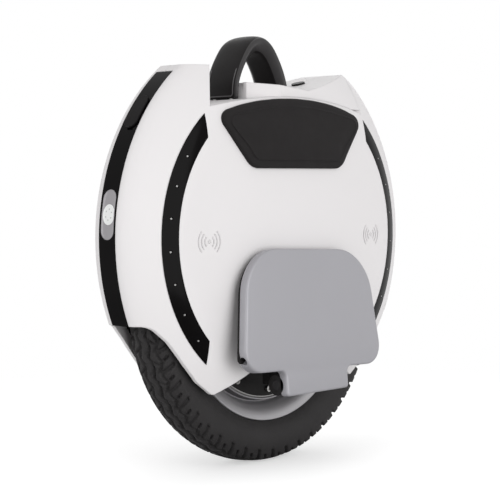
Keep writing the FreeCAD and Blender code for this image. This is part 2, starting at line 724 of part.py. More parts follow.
def end_bar_space(side):
    """Space that the black bar on one end takes out of the skin."""
    x0, x1 = sorted((side * STRIP_BACK_X, side * FAR))
    return block(x0, x1, -STRIP_HALF_W, STRIP_HALF_W, 0, STRIP_TOP_Z)


def about_hull(shape, z):
    """Shape made on the front end at the height of the hull's centre, swung up or down to a height."""
    shape.rotate(HULL_CENTRE, ALONG_Y, -math.degrees(math.asin((z - HULL_Z) / HULL_R)))
    return shape


def end_slot(length, width, x0, x1):
    """Slot with round ends that runs along X through the front bar at the height of the hull's centre."""
    half = width / 2
    straight = length / 2 - half
    slot = [block(x0, x1, -half, half, HULL_Z - straight, HULL_Z + straight)]
    for z in (HULL_Z - straight, HULL_Z + straight):
        slot.append(disc(ALONG_X, Vector(x0, 0, z), half, x1 - x0))
    return joined(slot)


def lens_space():
    """Slot in the front bar for the headlight lens."""
    return about_hull(end_slot(LENS_LENGTH, LENS_W, HULL_R - LENS_W, HULL_R + OVER), LENS_Z)


def port_bore():
    """Round hole in the front bar for the charge plug."""
    return about_hull(disc(ALONG_X, Vector(HULL_R - LENS_W, 0, HULL_Z), PORT_BORE_R, LENS_W * 2), PORT_Z)


def make_lamp():
    """Light source behind the headlight lens, with its back in the shell."""
    start = Vector(HULL_R - HULL_WALL - LED_LENGTH - SEAT_GAP, 0, HULL_Z)
    return about_hull(disc(ALONG_X, start, LED_R, LED_LENGTH), LENS_Z)


def make_charge_socket():
    """Socket behind the port hole: a barrel with a bore for the plug."""
    front = HULL_R - HULL_WALL - SEAT_GAP
    barrel = disc(ALONG_X, Vector(front - SOCKET_LENGTH, 0, HULL_Z), SOCKET_R, SOCKET_LENGTH)
    bore_start = Vector(front - SOCKET_BORE_DEPTH, 0, HULL_Z)
    bore = disc(ALONG_X, bore_start, SOCKET_BORE_R, SOCKET_BORE_DEPTH + OVER)
    return about_hull(barrel.cut(bore), PORT_Z)


def make_charge_cap():
    """Rubber cap over the charge port: an oval plate along the bar, with a plug and a small hinge roll."""
    inner = HULL_R + SEAT_GAP
    outer = inner + CAP_T
    layer = disc(ALONG_Y, Vector(0, -CAP_W, HULL_Z), outer, 2 * CAP_W)
    layer = layer.cut(disc(ALONG_Y, Vector(0, -CAP_W, HULL_Z), inner, 2 * CAP_W))
    plate = layer.common(end_slot(CAP_LENGTH, CAP_W, HULL_R - CAP_W, outer + CAP_T))
    plug_length = HULL_WALL + SEAT_GAP + CAP_T / 2
    plug = disc(ALONG_X, Vector(HULL_R - HULL_WALL, 0, HULL_Z), PORT_PLUG_R, plug_length)
    hinge_x = math.sqrt(outer ** 2 - (CAP_LENGTH / 2) ** 2)
    hinge_start = Vector(hinge_x, -CAP_HINGE_W / 2, HULL_Z - CAP_LENGTH / 2)
    hinge = disc(ALONG_Y, hinge_start, CAP_HINGE_R, CAP_HINGE_W)
    return about_hull(joined([plate, plug, hinge]), PORT_Z)


def side_light_space(front, right):
    """Curved strip, seen from the side, that one side light takes out of the skin."""
    x = SIDE_LIGHT_X * front
    outer = SIDE_LIGHT_R
    inner = SIDE_LIGHT_R - SIDE_LIGHT_W
    y0 = 0 if right > 0 else -FAR
    band = disc(ALONG_Y, Vector(x, y0, HULL_Z), outer, FAR)
    band = band.cut(disc(ALONG_Y, Vector(x, y0, HULL_Z), inner, FAR))
    x0, x1 = sorted((front * SIDE_LIGHT_END_X, front * FAR))
    return band.common(block(x0, x1, y0, y0 + FAR, 0, FAR * 2))


def side_led_holes(front, right):
    """Holes for the row of small LEDs along one side light."""
    x = SIDE_LIGHT_X * front
    radius = SIDE_LIGHT_R - SIDE_LIGHT_W / 2
    y0 = 0 if right > 0 else -FAR
    sweep = SIDE_LED_BOTTOM_DEG - SIDE_LED_TOP_DEG
    holes = []
    for index in range(SIDE_LED_COUNT):
        angle = math.radians(SIDE_LED_TOP_DEG + sweep * index / (SIDE_LED_COUNT - 1))
        centre = Vector(x + front * radius * math.cos(angle), y0, HULL_Z + radius * math.sin(angle))
        holes.append(disc(ALONG_Y, centre, SIDE_LED_R, FAR))
    return holes


# Side pads

def make_side_pad():
    """Right-hand knee pad, stuck to the outside of the shell."""
    half = []
    for x_share, rise_share in zip(PAD_X_SHARES, PAD_RISE_SHARES):
        half.append((HULL_R * x_share, HULL_Z + HULL_R * rise_share))
    points = half + [(-x, z) for x, z in half[::-1]]
    pad = hull(PAD_T).common(side_prism(points, 0, FAR, PAD_ROUND))
    edges = [edge for edge in pad.Edges if outer_pad_edge(edge)]
    return pad.makeChamfer(PAD_BEVEL, edges).cut(hull())


def outer_pad_edge(edge):
    """True for the edges round the outer face of the uncut pad, which all lie beyond its middle plane."""
    return min(vertex.Y for vertex in edge.Vertexes) > PAD_T


# Handle, saddle, ramp and button

def handle_wire(half_span, top_z, y):
    """Closed outline of an arch fore and aft: upright legs that close in to a round crown."""
    rise = top_z - HANDLE_BOTTOM_Z
    half = []
    for span_share, rise_share in zip(HANDLE_SPAN_SHARES, HANDLE_RISE_SHARES):
        half.append(Vector(HANDLE_X + half_span * span_share, y, HANDLE_BOTTOM_Z + rise * rise_share))
    mirror = [Vector(2 * HANDLE_X - point.x, y, point.z) for point in half[-2::-1]]
    curve = Part.BSplineCurve()
    curve.interpolate(half + mirror)
    return Part.Wire([curve.toShape(), Part.makeLine(mirror[-1], half[0])])


def make_handle():
    """Carrying handle: wide outside and narrow where the hand goes, standing on the valley floor."""
    width = HANDLE_HALF_W
    arch = Part.Face(handle_wire(HANDLE_HALF_SPAN, HANDLE_TOP_Z, -width)).extrude(ALONG_Y * (2 * width))
    sharp = [edge for edge in arch.Edges if edge.BoundBox.YLength < OVER and edge.BoundBox.ZLength > OVER]
    arch = arch.makeFillet(HANDLE_EDGE, sharp)
    inner = handle_wire(HANDLE_OPENING_HALF, HANDLE_OPENING_TOP_Z, -width)
    opening = Part.Face(inner).extrude(ALONG_Y * (2 * width))
    narrow = handle_wire(HANDLE_OPENING_HALF, HANDLE_OPENING_TOP_Z, HANDLE_INNER_HALF_W)
    wide = handle_wire(HANDLE_OPENING_HALF + HANDLE_TAPER, HANDLE_OPENING_TOP_Z + HANDLE_TAPER, width)
    flare = Part.makeLoft([narrow, wide], True, True)
    handle = arch.cut([opening, flare, mirrored(flare)] + handle_screw_holes())
    return handle.common(above_floor(0))


def handle_screw_holes():
    """Shafts of the four screws that come up through the floor into the handle's legs."""
    holes = []
    for x in (HANDLE_X - HANDLE_LEG_X, HANDLE_X + HANDLE_LEG_X):
        for y in (-HANDLE_SCREW_Y, HANDLE_SCREW_Y):
            start = Vector(x, y, VALLEY_MID_Z - HULL_WALL * 2)
            holes.append(disc(ALONG_Z, start, HANDLE_SCREW_R, HANDLE_SCREW_LENGTH))
    return holes


def make_handle_screws():
    """Handle screws with their heads under the floor."""
    screws = []
    for shaft in handle_screw_holes():
        room = shaft.BoundBox
        head_start = Vector(room.Center.x, room.Center.y, room.ZMin - SCREW_HEAD_H)
        screws.append(joined([shaft, disc(ALONG_Z, head_start, SCREW_HEAD_R, SCREW_HEAD_H)]))
    return Part.makeCompound(screws)


def handle_legs_room():
    """Room that the handle's legs take in the white top, with a small gap all round."""
    width = HANDLE_HALF_W + SEAT_GAP
    outer = handle_wire(HANDLE_HALF_SPAN + SEAT_GAP, HANDLE_TOP_Z + SEAT_GAP, -width)
    inner = handle_wire(HANDLE_OPENING_HALF - SEAT_GAP, HANDLE_OPENING_TOP_Z - SEAT_GAP, -width)
    across = ALONG_Y * (2 * width)
    return Part.Face(outer).extrude(across).cut(Part.Face(inner).extrude(across))


def make_saddle():
    """White top between the horns: it falls from the front leg to the rear leg and rises to the rear horn."""
    front = HANDLE_X + HANDLE_OPENING_HALF - SEAT_GAP
    leg = HANDLE_X - HANDLE_HALF_SPAN
    rear = -HORN_NOSE_X - HORN_NOSE_R - HULL_HALF_W
    rear_z = RAMP_FRONT_Z + RAMP_SLOPE * (RAMP_FRONT_X - rear)
    points = [(front, VALLEY_END_Z), (front, SADDLE_FRONT_Z), (leg, SADDLE_REAR_Z)]
    points += [(RAMP_FRONT_X, RAMP_FRONT_Z), (rear, rear_z), (rear, VALLEY_END_Z)]
    saddle = side_prism(points, -HULL_HALF_W, HULL_HALF_W)
    plan = [(front, -SADDLE_FRONT_HALF_W), (front, SADDLE_FRONT_HALF_W), (SADDLE_SHOULDER_X, HULL_HALF_W)]
    plan += [(rear, HULL_HALF_W), (rear, -HULL_HALF_W), (SADDLE_SHOULDER_X, -HULL_HALF_W)]
    saddle = saddle.common(plan_prism(plan, 0, FAR * 2))
    return saddle.common(valley(0, 0)).common(hull()).cut([above_rear(0), above_horns(0), handle_legs_room()])


def on_ramp(radius, start, length):
    """Cylinder square to the ramp at the button's place, from a height above the ramp."""
    shape = disc(ALONG_Z, BUTTON_CENTRE + ALONG_Z * start, radius, length)
    shape.rotate(BUTTON_CENTRE, ALONG_Y, RAMP_ANGLE_DEG)
    return shape


def button_bore():
    """Hole in the ramp for the button and its switch."""
    return on_ramp(BUTTON_R + BUTTON_GAP, -BUTTON_BORE_DEPTH, BUTTON_BORE_DEPTH + OVER)


def make_button():
    """Round power button."""
    return on_ramp(BUTTON_R, BUTTON_PROUD - BUTTON_H, BUTTON_H)


def make_switch():
    """Switch at the foot of the button's bore."""
    return on_ramp(BUTTON_R, -BUTTON_BORE_DEPTH, SWITCH_H)


# Wheel arch and pedal hangers

def make_wheel_arch():
    """Arch over the tyre with a flange down each side and posts for the shell's screws."""
    top = ring(ARCH_IN_R, ARCH_OUT_R, -FLANGE_OUT_Y, FLANGE_OUT_Y)
    flange = ring(0, ARCH_IN_R, FLANGE_IN_Y, FLANGE_OUT_Y)
    flange = flange.common(block(-FAR, FAR, 0, FAR, FLANGE_BOTTOM_Z, FAR * 2))
    end_z = AXLE_Z + ARCH_OUT_R * math.sin(math.radians(ARCH_END_DEG))
    top = top.common(block(-FAR, FAR, -FAR, FAR, end_z, FAR * 2))
    posts = []
    for x in (-ARCH_POST_X, ARCH_POST_X):
        foot = Vector(x, FLANGE_IN_Y, ARCH_POST_Z)
        posts.append(disc(ALONG_Y, foot, ARCH_POST_R, HULL_HALF_W - FLANGE_IN_Y))
    right = joined([flange] + posts).common(hull(-HULL_WALL))
    holes = shell_screw_shafts() + hanger_screw_shafts()
    holes += [mirrored(hole) for hole in holes]
    return joined([top, right, mirrored(right)]).cut(holes)


def shell_screw_shafts():
    """Right-hand shell screws, through the skin into the posts of the arch."""
    shafts = []
    for x in (-ARCH_POST_X, ARCH_POST_X):
        reach = disc(ALONG_Y, Vector(x, 0, ARCH_POST_Z), SHELL_SCREW_R, FAR).common(hull(-HULL_WALL / 2))
        shafts.append(reach.common(block(-FAR, FAR, reach.BoundBox.YMax - SHELL_SCREW_LENGTH, FAR, 0, FAR)))
    return shafts


def hanger_screw_shafts():
    """Right-hand screws that hold a hanger to the arch flange."""
    z = HANGER_TOP_Z - HANGER_SCREW_DROP
    length = HANGER_OUT_Y - FLANGE_IN_Y
    places = [Vector(x, FLANGE_IN_Y, z) for x in (-HANGER_SCREW_X, HANGER_SCREW_X)]
    return [disc(ALONG_Y, place, SCREW_R, length) for place in places]


def make_hanger_screws():
    """Hanger screws of both sides, heads outward."""
    screws = []
    for shaft in hanger_screw_shafts():
        centre = Vector(shaft.BoundBox.Center.x, HANGER_OUT_Y, shaft.BoundBox.Center.z)
        screws.append(joined([shaft, disc(ALONG_Y, centre, SCREW_HEAD_R, SCREW_HEAD_H)]))
    return Part.makeCompound(screws + [mirrored(screw) for screw in screws])


def pivot_bar(x0, x1, radius):
    """Cylinder along the right-hand pedal's hinge line."""
    return disc(ALONG_X, Vector(x0, PIVOT_Y, PIVOT_Z), radius, x1 - x0)


def make_hanger():
    """Right-hand hanger: a plate from the arch flange past the axle, with a foot out to the hinge."""
    bottom = PIVOT_Z - FOOT_DROP
    knuckle = HANGER_KNUCKLE_HALF
    points = [(-knuckle, bottom), (knuckle, bottom)]
    points += [(HANGER_TOP_HALF, HANGER_TOP_Z), (-HANGER_TOP_HALF, HANGER_TOP_Z)]
    plate = side_prism(points, FLANGE_OUT_Y, HANGER_OUT_Y, [0, 0, HANGER_ROUND, HANGER_ROUND])
    foot = block(-knuckle, knuckle, FLANGE_OUT_Y, PIVOT_Y, bottom, PIVOT_Z + KNUCKLE_R)
    barrel = pivot_bar(-knuckle, knuckle, KNUCKLE_R)
    hanger = joined([plate, foot, barrel])
    axle = disc(ALONG_Y, Vector(0, 0, AXLE_Z), AXLE_R, FAR)
    return hanger.cut([pivot_bar(-FAR, FAR, PIN_R), axle] + hanger_screw_shafts())


# Pedals

def leaned(shape):
    """Right-hand pedal piece turned from upright to its rest against the shell."""
    shape.rotate(Vector(0, PIVOT_Y, PIVOT_Z), ALONG_X, PEDAL_LEAN_DEG)
    return shape


def pedal_outline(inset):
    """Points of the pedal plate seen from the side, wider below and a little nose-up, drawn in by inset."""
    wide = PEDAL_LOW_HALF_L - inset
    narrow = PEDAL_HIGH_HALF_L - inset
    low = PIVOT_Z + PEDAL_BOTTOM + inset
    high = PIVOT_Z + PEDAL_TOP - inset
    rise = PEDAL_PITCH_RISE
    return [(-wide, low - rise), (wide, low + rise), (narrow, high + rise), (-narrow, high - rise)]


def pedal_rounds(inset):
    """Corner rounds of the pedal plate, in the order of its outline."""
    low = PEDAL_LOW_CORNER - inset
    high = PEDAL_CORNER - inset
    return [low, low, high, high]


def make_heel():
    """Thicker foot of the pedal plate under the mat, flush with the mat's face."""
    top = PIVOT_Z + PEDAL_BOTTOM + HEEL_H - HEEL_GAP
    deep = side_prism(pedal_outline(0), PEDAL_IN_Y - MAT_T, PEDAL_IN_Y, pedal_rounds(0))
    return deep.common(block(-FAR, FAR, 0, FAR, 0, top))


def edge_hole():
    """Round recess in the lower front corner of the pedal."""
    angle = math.radians(EDGE_HOLE_DEG)
    way = Vector(math.cos(angle), 0, -math.sin(angle))
    middle_y = (PEDAL_IN_Y - MAT_T + PEDAL_OUT_Y) / 2
    low = PIVOT_Z + PEDAL_BOTTOM + PEDAL_PITCH_RISE
    corner = Vector(PEDAL_LOW_HALF_L - PEDAL_LOW_CORNER, middle_y, low + PEDAL_LOW_CORNER)
    return disc(way, corner + way * (PEDAL_LOW_CORNER - EDGE_HOLE_DEPTH), EDGE_HOLE_R, EDGE_HOLE_DEPTH + OVER)


def make_pedal():
    """Right-hand pedal: a rounded plate with a neck and two knuckles on the pin."""
    plate = side_prism(pedal_outline(0), PEDAL_IN_Y, PEDAL_OUT_Y, pedal_rounds(0))
    face_edges = [edge for edge in plate.Faces[-1].Edges]
    plate = plate.makeFillet(PEDAL_EDGE, face_edges)
    neck_points = [(-NECK_HALF_L, PIVOT_Z - NECK_DROP), (NECK_HALF_L, PIVOT_Z - NECK_DROP)]
    neck_points += [(x, PIVOT_Z + PEDAL_BOTTOM + PEDAL_WALL) for x, z in neck_points[::-1]]
    neck = side_prism(neck_points, PEDAL_IN_Y, PEDAL_OUT_Y, [NECK_ROUND, NECK_ROUND, 0, 0])
    inner = HANGER_KNUCKLE_HALF + HINGE_GAP
    knuckles = [pivot_bar(inner, NECK_HALF_L, KNUCKLE_R), pivot_bar(-NECK_HALF_L, -inner, KNUCKLE_R)]
    pedal = joined([plate, make_heel(), neck] + knuckles)
    pocket = magnet_space()
    room = pivot_bar(-inner, inner, KNUCKLE_R + HINGE_GAP)
    bore = pivot_bar(-FAR, FAR, PIN_R + RUNNING_GAP)
    return leaned(pedal.cut([pocket, edge_hole(), room, bore]))


def magnet_space():
    """Pocket in the standing face for the magnet that holds the pedal up."""
    z = PIVOT_Z + PEDAL_TOP - PEDAL_MAGNET_DROP - MAT_MARGIN
    return disc(ALONG_Y, Vector(0, PEDAL_IN_Y, z), PEDAL_MAGNET_R, PEDAL_MAGNET_T)


def make_pedal_mat():
    """Grip mat on the standing face of the right-hand pedal."""
    sheet = side_prism(pedal_outline(MAT_MARGIN), PEDAL_IN_Y - MAT_T, PEDAL_IN_Y, pedal_rounds(MAT_MARGIN))
    foot = PIVOT_Z + PEDAL_BOTTOM + HEEL_H
    return leaned(sheet.common(block(-FAR, FAR, 0, FAR, foot, FAR)))


def make_pin():
    """Hinge pin of the right-hand pedal."""
    return pivot_bar(-NECK_HALF_L, NECK_HALF_L, PIN_R)


# Electrics

def make_battery():
    """Right-hand battery pack, flat against the arch flange behind the hanger."""
    pack = block(-BATTERY_X - BATTERY_L, -BATTERY_X, FLANGE_OUT_Y, FLANGE_OUT_Y + BATTERY_T,
                 BATTERY_Z, BATTERY_Z + BATTERY_H)
    upright = [edge for edge in pack.Edges if edge.BoundBox.YLength > BATTERY_T / 2]
    return pack.makeFillet(BATTERY_ROUND, upright)


def make_board():
    """Control board over the crown of the arch, with its four standoffs."""
    board = block(-BOARD_HALF_L, BOARD_HALF_L, -BOARD_HALF_W, BOARD_HALF_W, BOARD_Z, BOARD_Z + BOARD_T)
    legs = []
    for x in (STANDOFF_R * 2 - BOARD_HALF_L, BOARD_HALF_L - STANDOFF_R * 2):
        for y in (STANDOFF_R * 2 - BOARD_HALF_W, BOARD_HALF_W - STANDOFF_R * 2):
            legs.append(disc(ALONG_Z, Vector(x, y, AXLE_Z), STANDOFF_R, BOARD_Z - AXLE_Z))
    arch = disc(ALONG_Y, Vector(0, -FAR, AXLE_Z), ARCH_OUT_R, 2 * FAR)
    return joined([board] + legs).cut(arch)


def make_heat_sink():
    """Finned heat sink on the control board."""
    base = BOARD_Z + BOARD_T
    sink = block(-SINK_L / 2, SINK_L / 2, -SINK_W / 2, SINK_W / 2, base, base + SINK_H)
    fin = SINK_L / (2 * SINK_FINS - 1)
    slots = []
    for index in range(SINK_FINS - 1):
        x = -SINK_L / 2 + fin * (2 * index + 1)
        floor = base + SINK_H * SINK_BASE_SHARE
        slots.append(block(x, x + fin, -SINK_W, SINK_W, floor, base + SINK_H + OVER))
    return sink.cut(slots)


def make_speaker():
    """Speaker inside the right-hand shell, near the front side light."""
    room = hull(-HULL_WALL - SEAT_GAP)
    cone = disc(ALONG_Y, Vector(SPEAKER_X, 0, SPEAKER_Z), SPEAKER_R, FAR).common(room)
    return cone.common(block(-FAR, FAR, cone.BoundBox.YMax - SPEAKER_LENGTH, FAR, 0, FAR))


# Build

def build_wheel():
    """Everything that spins."""
    save("tyre", make_tyre())
    save("inner_tube", make_tube())
    save("rim", make_rim())
    save("valve_stem", make_valve())
    save("valve_cap", make_valve_cap())
    save("rotor_magnets", make_magnets())
    cover = make_motor_cover()
    save("motor_cover_right", cover)
    save("motor_cover_left", mirrored(cover))
    save("motor_cover_screws", make_cover_screws())
    bearing = make_bearing()
    save("bearing_right", bearing)
    save("bearing_left", mirrored(bearing))


def build_chassis():
    """Axle, stator, arch, hangers and electrics."""
    save("axle", make_axle())
    save("stator_core", make_stator())
    save("stator_windings", make_windings())
    save("axle_washers", make_axle_washers())
    save("axle_nuts", make_axle_nuts())
    save("wheel_arch", make_wheel_arch())
    hanger = make_hanger()
    save("pedal_hanger_right", hanger)
    save("pedal_hanger_left", mirrored(hanger))
    save("hanger_screws", make_hanger_screws())
    pin = make_pin()
    save("pedal_pin_right", pin)
    save("pedal_pin_left", mirrored(pin))
    battery = make_battery()
    save("battery_right", battery)
    save("battery_left", mirrored(battery))
    save("control_board", make_board())
    save("heat_sink", make_heat_sink())
    save("speaker", make_speaker())
    shafts = shell_screw_shafts()
    save("shell_screws", Part.makeCompound(shafts + [mirrored(shaft) for shaft in shafts]))


def build_shell():
    """Skin parted into shells, bars, lenses and lights, and what is fixed to it."""
    skin = make_skin()
    front_bar = skin.common(end_bar_space(1))
    rear_bar = skin.common(end_bar_space(-1))
    lens = lens_space()
    tail_lens = lens.mirror(Vector(0, 0, 0), ALONG_X)
    save("front_light_bar", front_bar.cut([lens, port_bore()]))
    save("rear_light_bar", rear_bar.cut(tail_lens))
    save("headlight_lens", front_bar.common(lens))
    save("tail_light_lens", rear_bar.common(tail_lens))
    lamp = make_lamp()
    save("headlight_lamp", lamp)
    save("tail_lamp", lamp.mirror(Vector(0, 0, 0), ALONG_X))
    save("charge_socket", make_charge_socket())
    save("charge_cap", make_charge_cap())

    white = skin.cut([end_bar_space(1), end_bar_space(-1)])
    screws = shell_screw_shafts()
    white = white.cut(screws + [mirrored(screw) for screw in screws])
    cover_plan = [(-TOP_COVER_HALF_L, -TOP_COVER_HALF_W), (TOP_COVER_FRONT_X, -TOP_COVER_HALF_W)]
    cover_plan += [(x, -y) for x, y in cover_plan[::-1]]
    hatch = plan_prism(cover_plan, HULL_Z, FAR * 2)
    cover = joined([white.common(hatch), make_saddle()])
    save("top_cover", cover.cut(handle_screw_holes() + [button_bore()]))
    white = white.cut(hatch)
    for right, side in ((1, "right"), (-1, "left")):
        half = white.common(block(-FAR, FAR, min(0, right * FAR), max(0, right * FAR), -FAR, FAR * 2))
        lights = []
        for front, end in ((1, "front"), (-1, "rear")):
            space = side_light_space(front, right)
            holes = side_led_holes(front, right)
            strip = half.common(space)
            save("side_light_" + end + "_" + side, strip.cut(holes))
            save("side_leds_" + end + "_" + side, strip.common(Part.makeCompound(holes)))
            lights.append(space)
        save("shell_" + side, half.cut(lights))

    pad = make_side_pad()
    save("side_pad_right", pad)
    save("side_pad_left", mirrored(pad))
    save("handle", make_handle())
    save("handle_screws", make_handle_screws())
    save("power_button", make_button())
    save("button_switch", make_switch())


def build_pedals():
    """Both folding pedals."""
    pieces = {"pedal": make_pedal(), "pedal_mat": make_pedal_mat(), "pedal_magnet": leaned(magnet_space())}
    for name, shape in pieces.items():
        save(name + "_right", shape)
        save(name + "_left", mirrored(shape))


os.makedirs("parts", exist_ok=True)
build_wheel()
build_chassis()
build_shell()
build_pedals()
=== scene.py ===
# %% [markdown]
# # An electric unicycle, dressed in Blender
# The CAD model comes in first as a fixed frame, in metres, with +X to the headlight end, +Y to the side
# that faces the camera and +Z up. Every piece made below is placed in that same frame, so nothing has to
# be fitted afterwards.

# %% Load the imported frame
import json
import math

import bmesh
import bpy
from mathutils import Matrix, Vector
from mathutils.bvhtree import BVHTree


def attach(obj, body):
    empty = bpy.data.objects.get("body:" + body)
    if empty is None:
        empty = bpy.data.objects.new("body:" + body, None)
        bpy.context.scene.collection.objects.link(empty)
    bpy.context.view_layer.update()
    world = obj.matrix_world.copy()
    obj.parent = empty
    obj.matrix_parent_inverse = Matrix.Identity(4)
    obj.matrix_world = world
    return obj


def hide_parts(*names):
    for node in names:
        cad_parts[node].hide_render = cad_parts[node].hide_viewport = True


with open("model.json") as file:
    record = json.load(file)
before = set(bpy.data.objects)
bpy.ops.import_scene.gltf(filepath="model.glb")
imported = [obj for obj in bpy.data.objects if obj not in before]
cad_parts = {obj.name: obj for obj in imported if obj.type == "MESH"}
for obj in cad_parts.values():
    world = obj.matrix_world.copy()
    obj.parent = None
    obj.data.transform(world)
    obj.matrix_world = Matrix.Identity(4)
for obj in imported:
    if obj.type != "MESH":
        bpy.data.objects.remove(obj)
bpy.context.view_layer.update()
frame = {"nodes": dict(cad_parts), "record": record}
nodes = frame["nodes"]


# %% [markdown]
# The camera stands where the photograph was taken from: low, a little over wheel height, and turned
# halfway between the headlight end and the pedal side. A long lens keeps the two ends in proportion.

# %% Camera
CAMERA_PLACE = Vector((1.231, 1.122, 0.303))
CAMERA_LOOK = Vector((-0.735, -0.677, -0.044)).normalized()
CAMERA_ROLL = math.radians(-0.34)
SENSOR_MM = 36
FOCAL_MM = 109.8
NEAREST_SEEN = 0.05

side = CAMERA_LOOK.cross(Vector((0, 0, 1))).normalized()
upright = side.cross(CAMERA_LOOK).normalized()
turned_side = math.cos(CAMERA_ROLL) * side + math.sin(CAMERA_ROLL) * upright
turned_up = math.cos(CAMERA_ROLL) * upright - math.sin(CAMERA_ROLL) * side
lens = bpy.data.cameras.new("photo_camera")
lens.sensor_width = SENSOR_MM
lens.lens = FOCAL_MM
lens.clip_start = NEAREST_SEEN
camera = bpy.data.objects.new("photo_camera", lens)
camera.matrix_world = Matrix((
    (turned_side.x, turned_up.x, -CAMERA_LOOK.x, CAMERA_PLACE.x),
    (turned_side.y, turned_up.y, -CAMERA_LOOK.y, CAMERA_PLACE.y),
    (turned_side.z, turned_up.z, -CAMERA_LOOK.z, CAMERA_PLACE.z),
    (0, 0, 0, 1),
))
scene = bpy.context.scene
scene.collection.objects.link(camera)
scene.camera = camera
scene.view_settings.view_transform = "Standard"
print("camera at", tuple(round(c, 3) for c in CAMERA_PLACE))


# %% [markdown]
# A catalogue photograph has a white sweep and large soft lamps. The world is white for the camera and
# for reflections, and a plain grey fill for everything else. A bright white world would be simpler, but it
# would wash out the white shell, so the white that is seen and the light that falls are kept apart.

# %% Node helpers and the white world
FILL_STRENGTH = 0.5


def new_material(name):
    """An empty node material, with its node tree and its output node."""
    material = bpy.data.materials.new(name)
    material.use_nodes = True
    tree = material.node_tree
    tree.nodes.clear()
    output = tree.nodes.new("ShaderNodeOutputMaterial")
    return material, tree, output


def add(tree, kind, **values):
    """One node, with its inputs set by name and anything else set as a property."""
    node = tree.nodes.new(kind)
    for key, value in values.items():
        if key in node.inputs:
            node.inputs[key].default_value = value
        else:
            setattr(node, key, value)
    return node


world = bpy.data.worlds.new("white_sweep")
scene.world = world
world.use_nodes = True
sky = world.node_tree
sky.nodes.clear()
rays = add(sky, "ShaderNodeLightPath")
seen = add(sky, "ShaderNodeMath", operation="MAXIMUM")
shown = add(sky, "ShaderNodeMath", operation="MAXIMUM")
fill_light = add(sky, "ShaderNodeBackground", Color=(1, 1, 1, 1), Strength=FILL_STRENGTH)
white_back = add(sky, "ShaderNodeBackground", Color=(1, 1, 1, 1), Strength=1.0)
choose = add(sky, "ShaderNodeMixShader")
sky_out = add(sky, "ShaderNodeOutputWorld")
sky.links.new(rays.outputs["Is Camera Ray"], seen.inputs[0])
sky.links.new(rays.outputs["Is Glossy Ray"], seen.inputs[1])
sky.links.new(seen.outputs[0], shown.inputs[0])
sky.links.new(rays.outputs["Is Transmission Ray"], shown.inputs[1])
sky.links.new(shown.outputs[0], choose.inputs[0])
sky.links.new(fill_light.outputs[0], choose.inputs[1])
sky.links.new(white_back.outputs[0], choose.inputs[2])
sky.links.new(choose.outputs[0], sky_out.inputs[0])
print("world set, fill", FILL_STRENGTH)


# %% [markdown]
# The floor is a sheet of pale paper. It adds a little of its own light for the camera only and fades away
# at some distance, so that it runs into the white behind it and still keeps the shadow.

# %% Pale floor
FLOOR_HALF = 1.0
FLOOR_GLOW = 0.5
FADE_START = 0.35
FADE_END = 0.85

floor_material, tree, output = new_material("pale_floor")
paper = add(tree, "ShaderNodeBsdfDiffuse", Color=(0.86, 0.86, 0.86, 1))
glow = add(tree, "ShaderNodeEmission", Color=(1, 1, 1, 1))
rays = add(tree, "ShaderNodeLightPath")
lift = add(tree, "ShaderNodeMath", operation="MULTIPLY")
lift.inputs[1].default_value = FLOOR_GLOW
both = add(tree, "ShaderNodeAddShader")
place = add(tree, "ShaderNodeTexCoord")
far = add(tree, "ShaderNodeVectorMath", operation="LENGTH")
fade = add(tree, "ShaderNodeMapRange", interpolation_type="SMOOTHSTEP")
fade.inputs["From Min"].default_value = FADE_START
fade.inputs["From Max"].default_value = FADE_END
nothing = add(tree, "ShaderNodeBsdfTransparent")
sheet_or_white = add(tree, "ShaderNodeMixShader")
tree.links.new(place.outputs["Object"], far.inputs[0])
tree.links.new(far.outputs["Value"], fade.inputs["Value"])
tree.links.new(fade.outputs["Result"], sheet_or_white.inputs[0])
tree.links.new(both.outputs[0], sheet_or_white.inputs[1])
tree.links.new(nothing.outputs[0], sheet_or_white.inputs[2])
tree.links.new(rays.outputs["Is Camera Ray"], lift.inputs[0])
tree.links.new(lift.outputs[0], glow.inputs["Strength"])
tree.links.new(paper.outputs[0], both.inputs[0])
tree.links.new(glow.outputs[0], both.inputs[1])
tree.links.new(sheet_or_white.outputs[0], output.inputs["Surface"])

sheet = bmesh.new()
bmesh.ops.create_grid(sheet, x_segments=1, y_segments=1, size=FLOOR_HALF)
floor_mesh = bpy.data.meshes.new("floor")
sheet.to_mesh(floor_mesh)
sheet.free()
floor = bpy.data.objects.new("floor", floor_mesh)
floor_mesh.materials.append(floor_material)
scene.collection.objects.link(floor)
print("floor", 2 * FLOOR_HALF, "m wide")


# %% [markdown]
# Four large soft lamps light the part. The strongest one stands on the pedal side, because that side is
# turned to the camera, and the one from above is weak, so that the white ramp doesn't clip.

# %% Lamps
LAMP_AIM = Vector((0, 0, 0.24))


def lamp(name, place, size, power):
    """A square soft lamp that faces the middle of the object."""
    light = bpy.data.lights.new(name, "AREA")
    light.size = size
    light.energy = power
    holder = bpy.data.objects.new(name, light)
    aim = (LAMP_AIM - Vector(place)).to_track_quat("-Z", "Y")
    holder.matrix_world = Matrix.Translation(place) @ aim.to_matrix().to_4x4()
    scene.collection.objects.link(holder)
    print("lamp", name, power, "W")


lamp("key_over_front", (1.3, 0.2, 2.0), 1.6, 3)
lamp("fill_on_pedal_side", (0.35, 2.1, 0.5), 1.8, 24)
lamp("low_front", (2.1, -0.3, 0.5), 1.5, 10)
lamp("rim_from_behind", (-1.6, -1.2, 1.5), 1.6, 7)


# %% [markdown]
# Every finish is built the same way, from the part's own Object coordinates: a slow mottle that shifts
# the colour a little, a finer cloud that varies the gloss, and a grain that raises tiny bumps. What
# makes one finish paint and another rubber is the size and strength of those three.

# %% A finish from colour, gloss and grain
MOTTLE_SCALE = 9.0
CLOUD_SCALE = 60.0
COAT_ROUGH = 0.06
LEAST_ROUGH = 0.02
GRAIN_DEPTH = 0.001


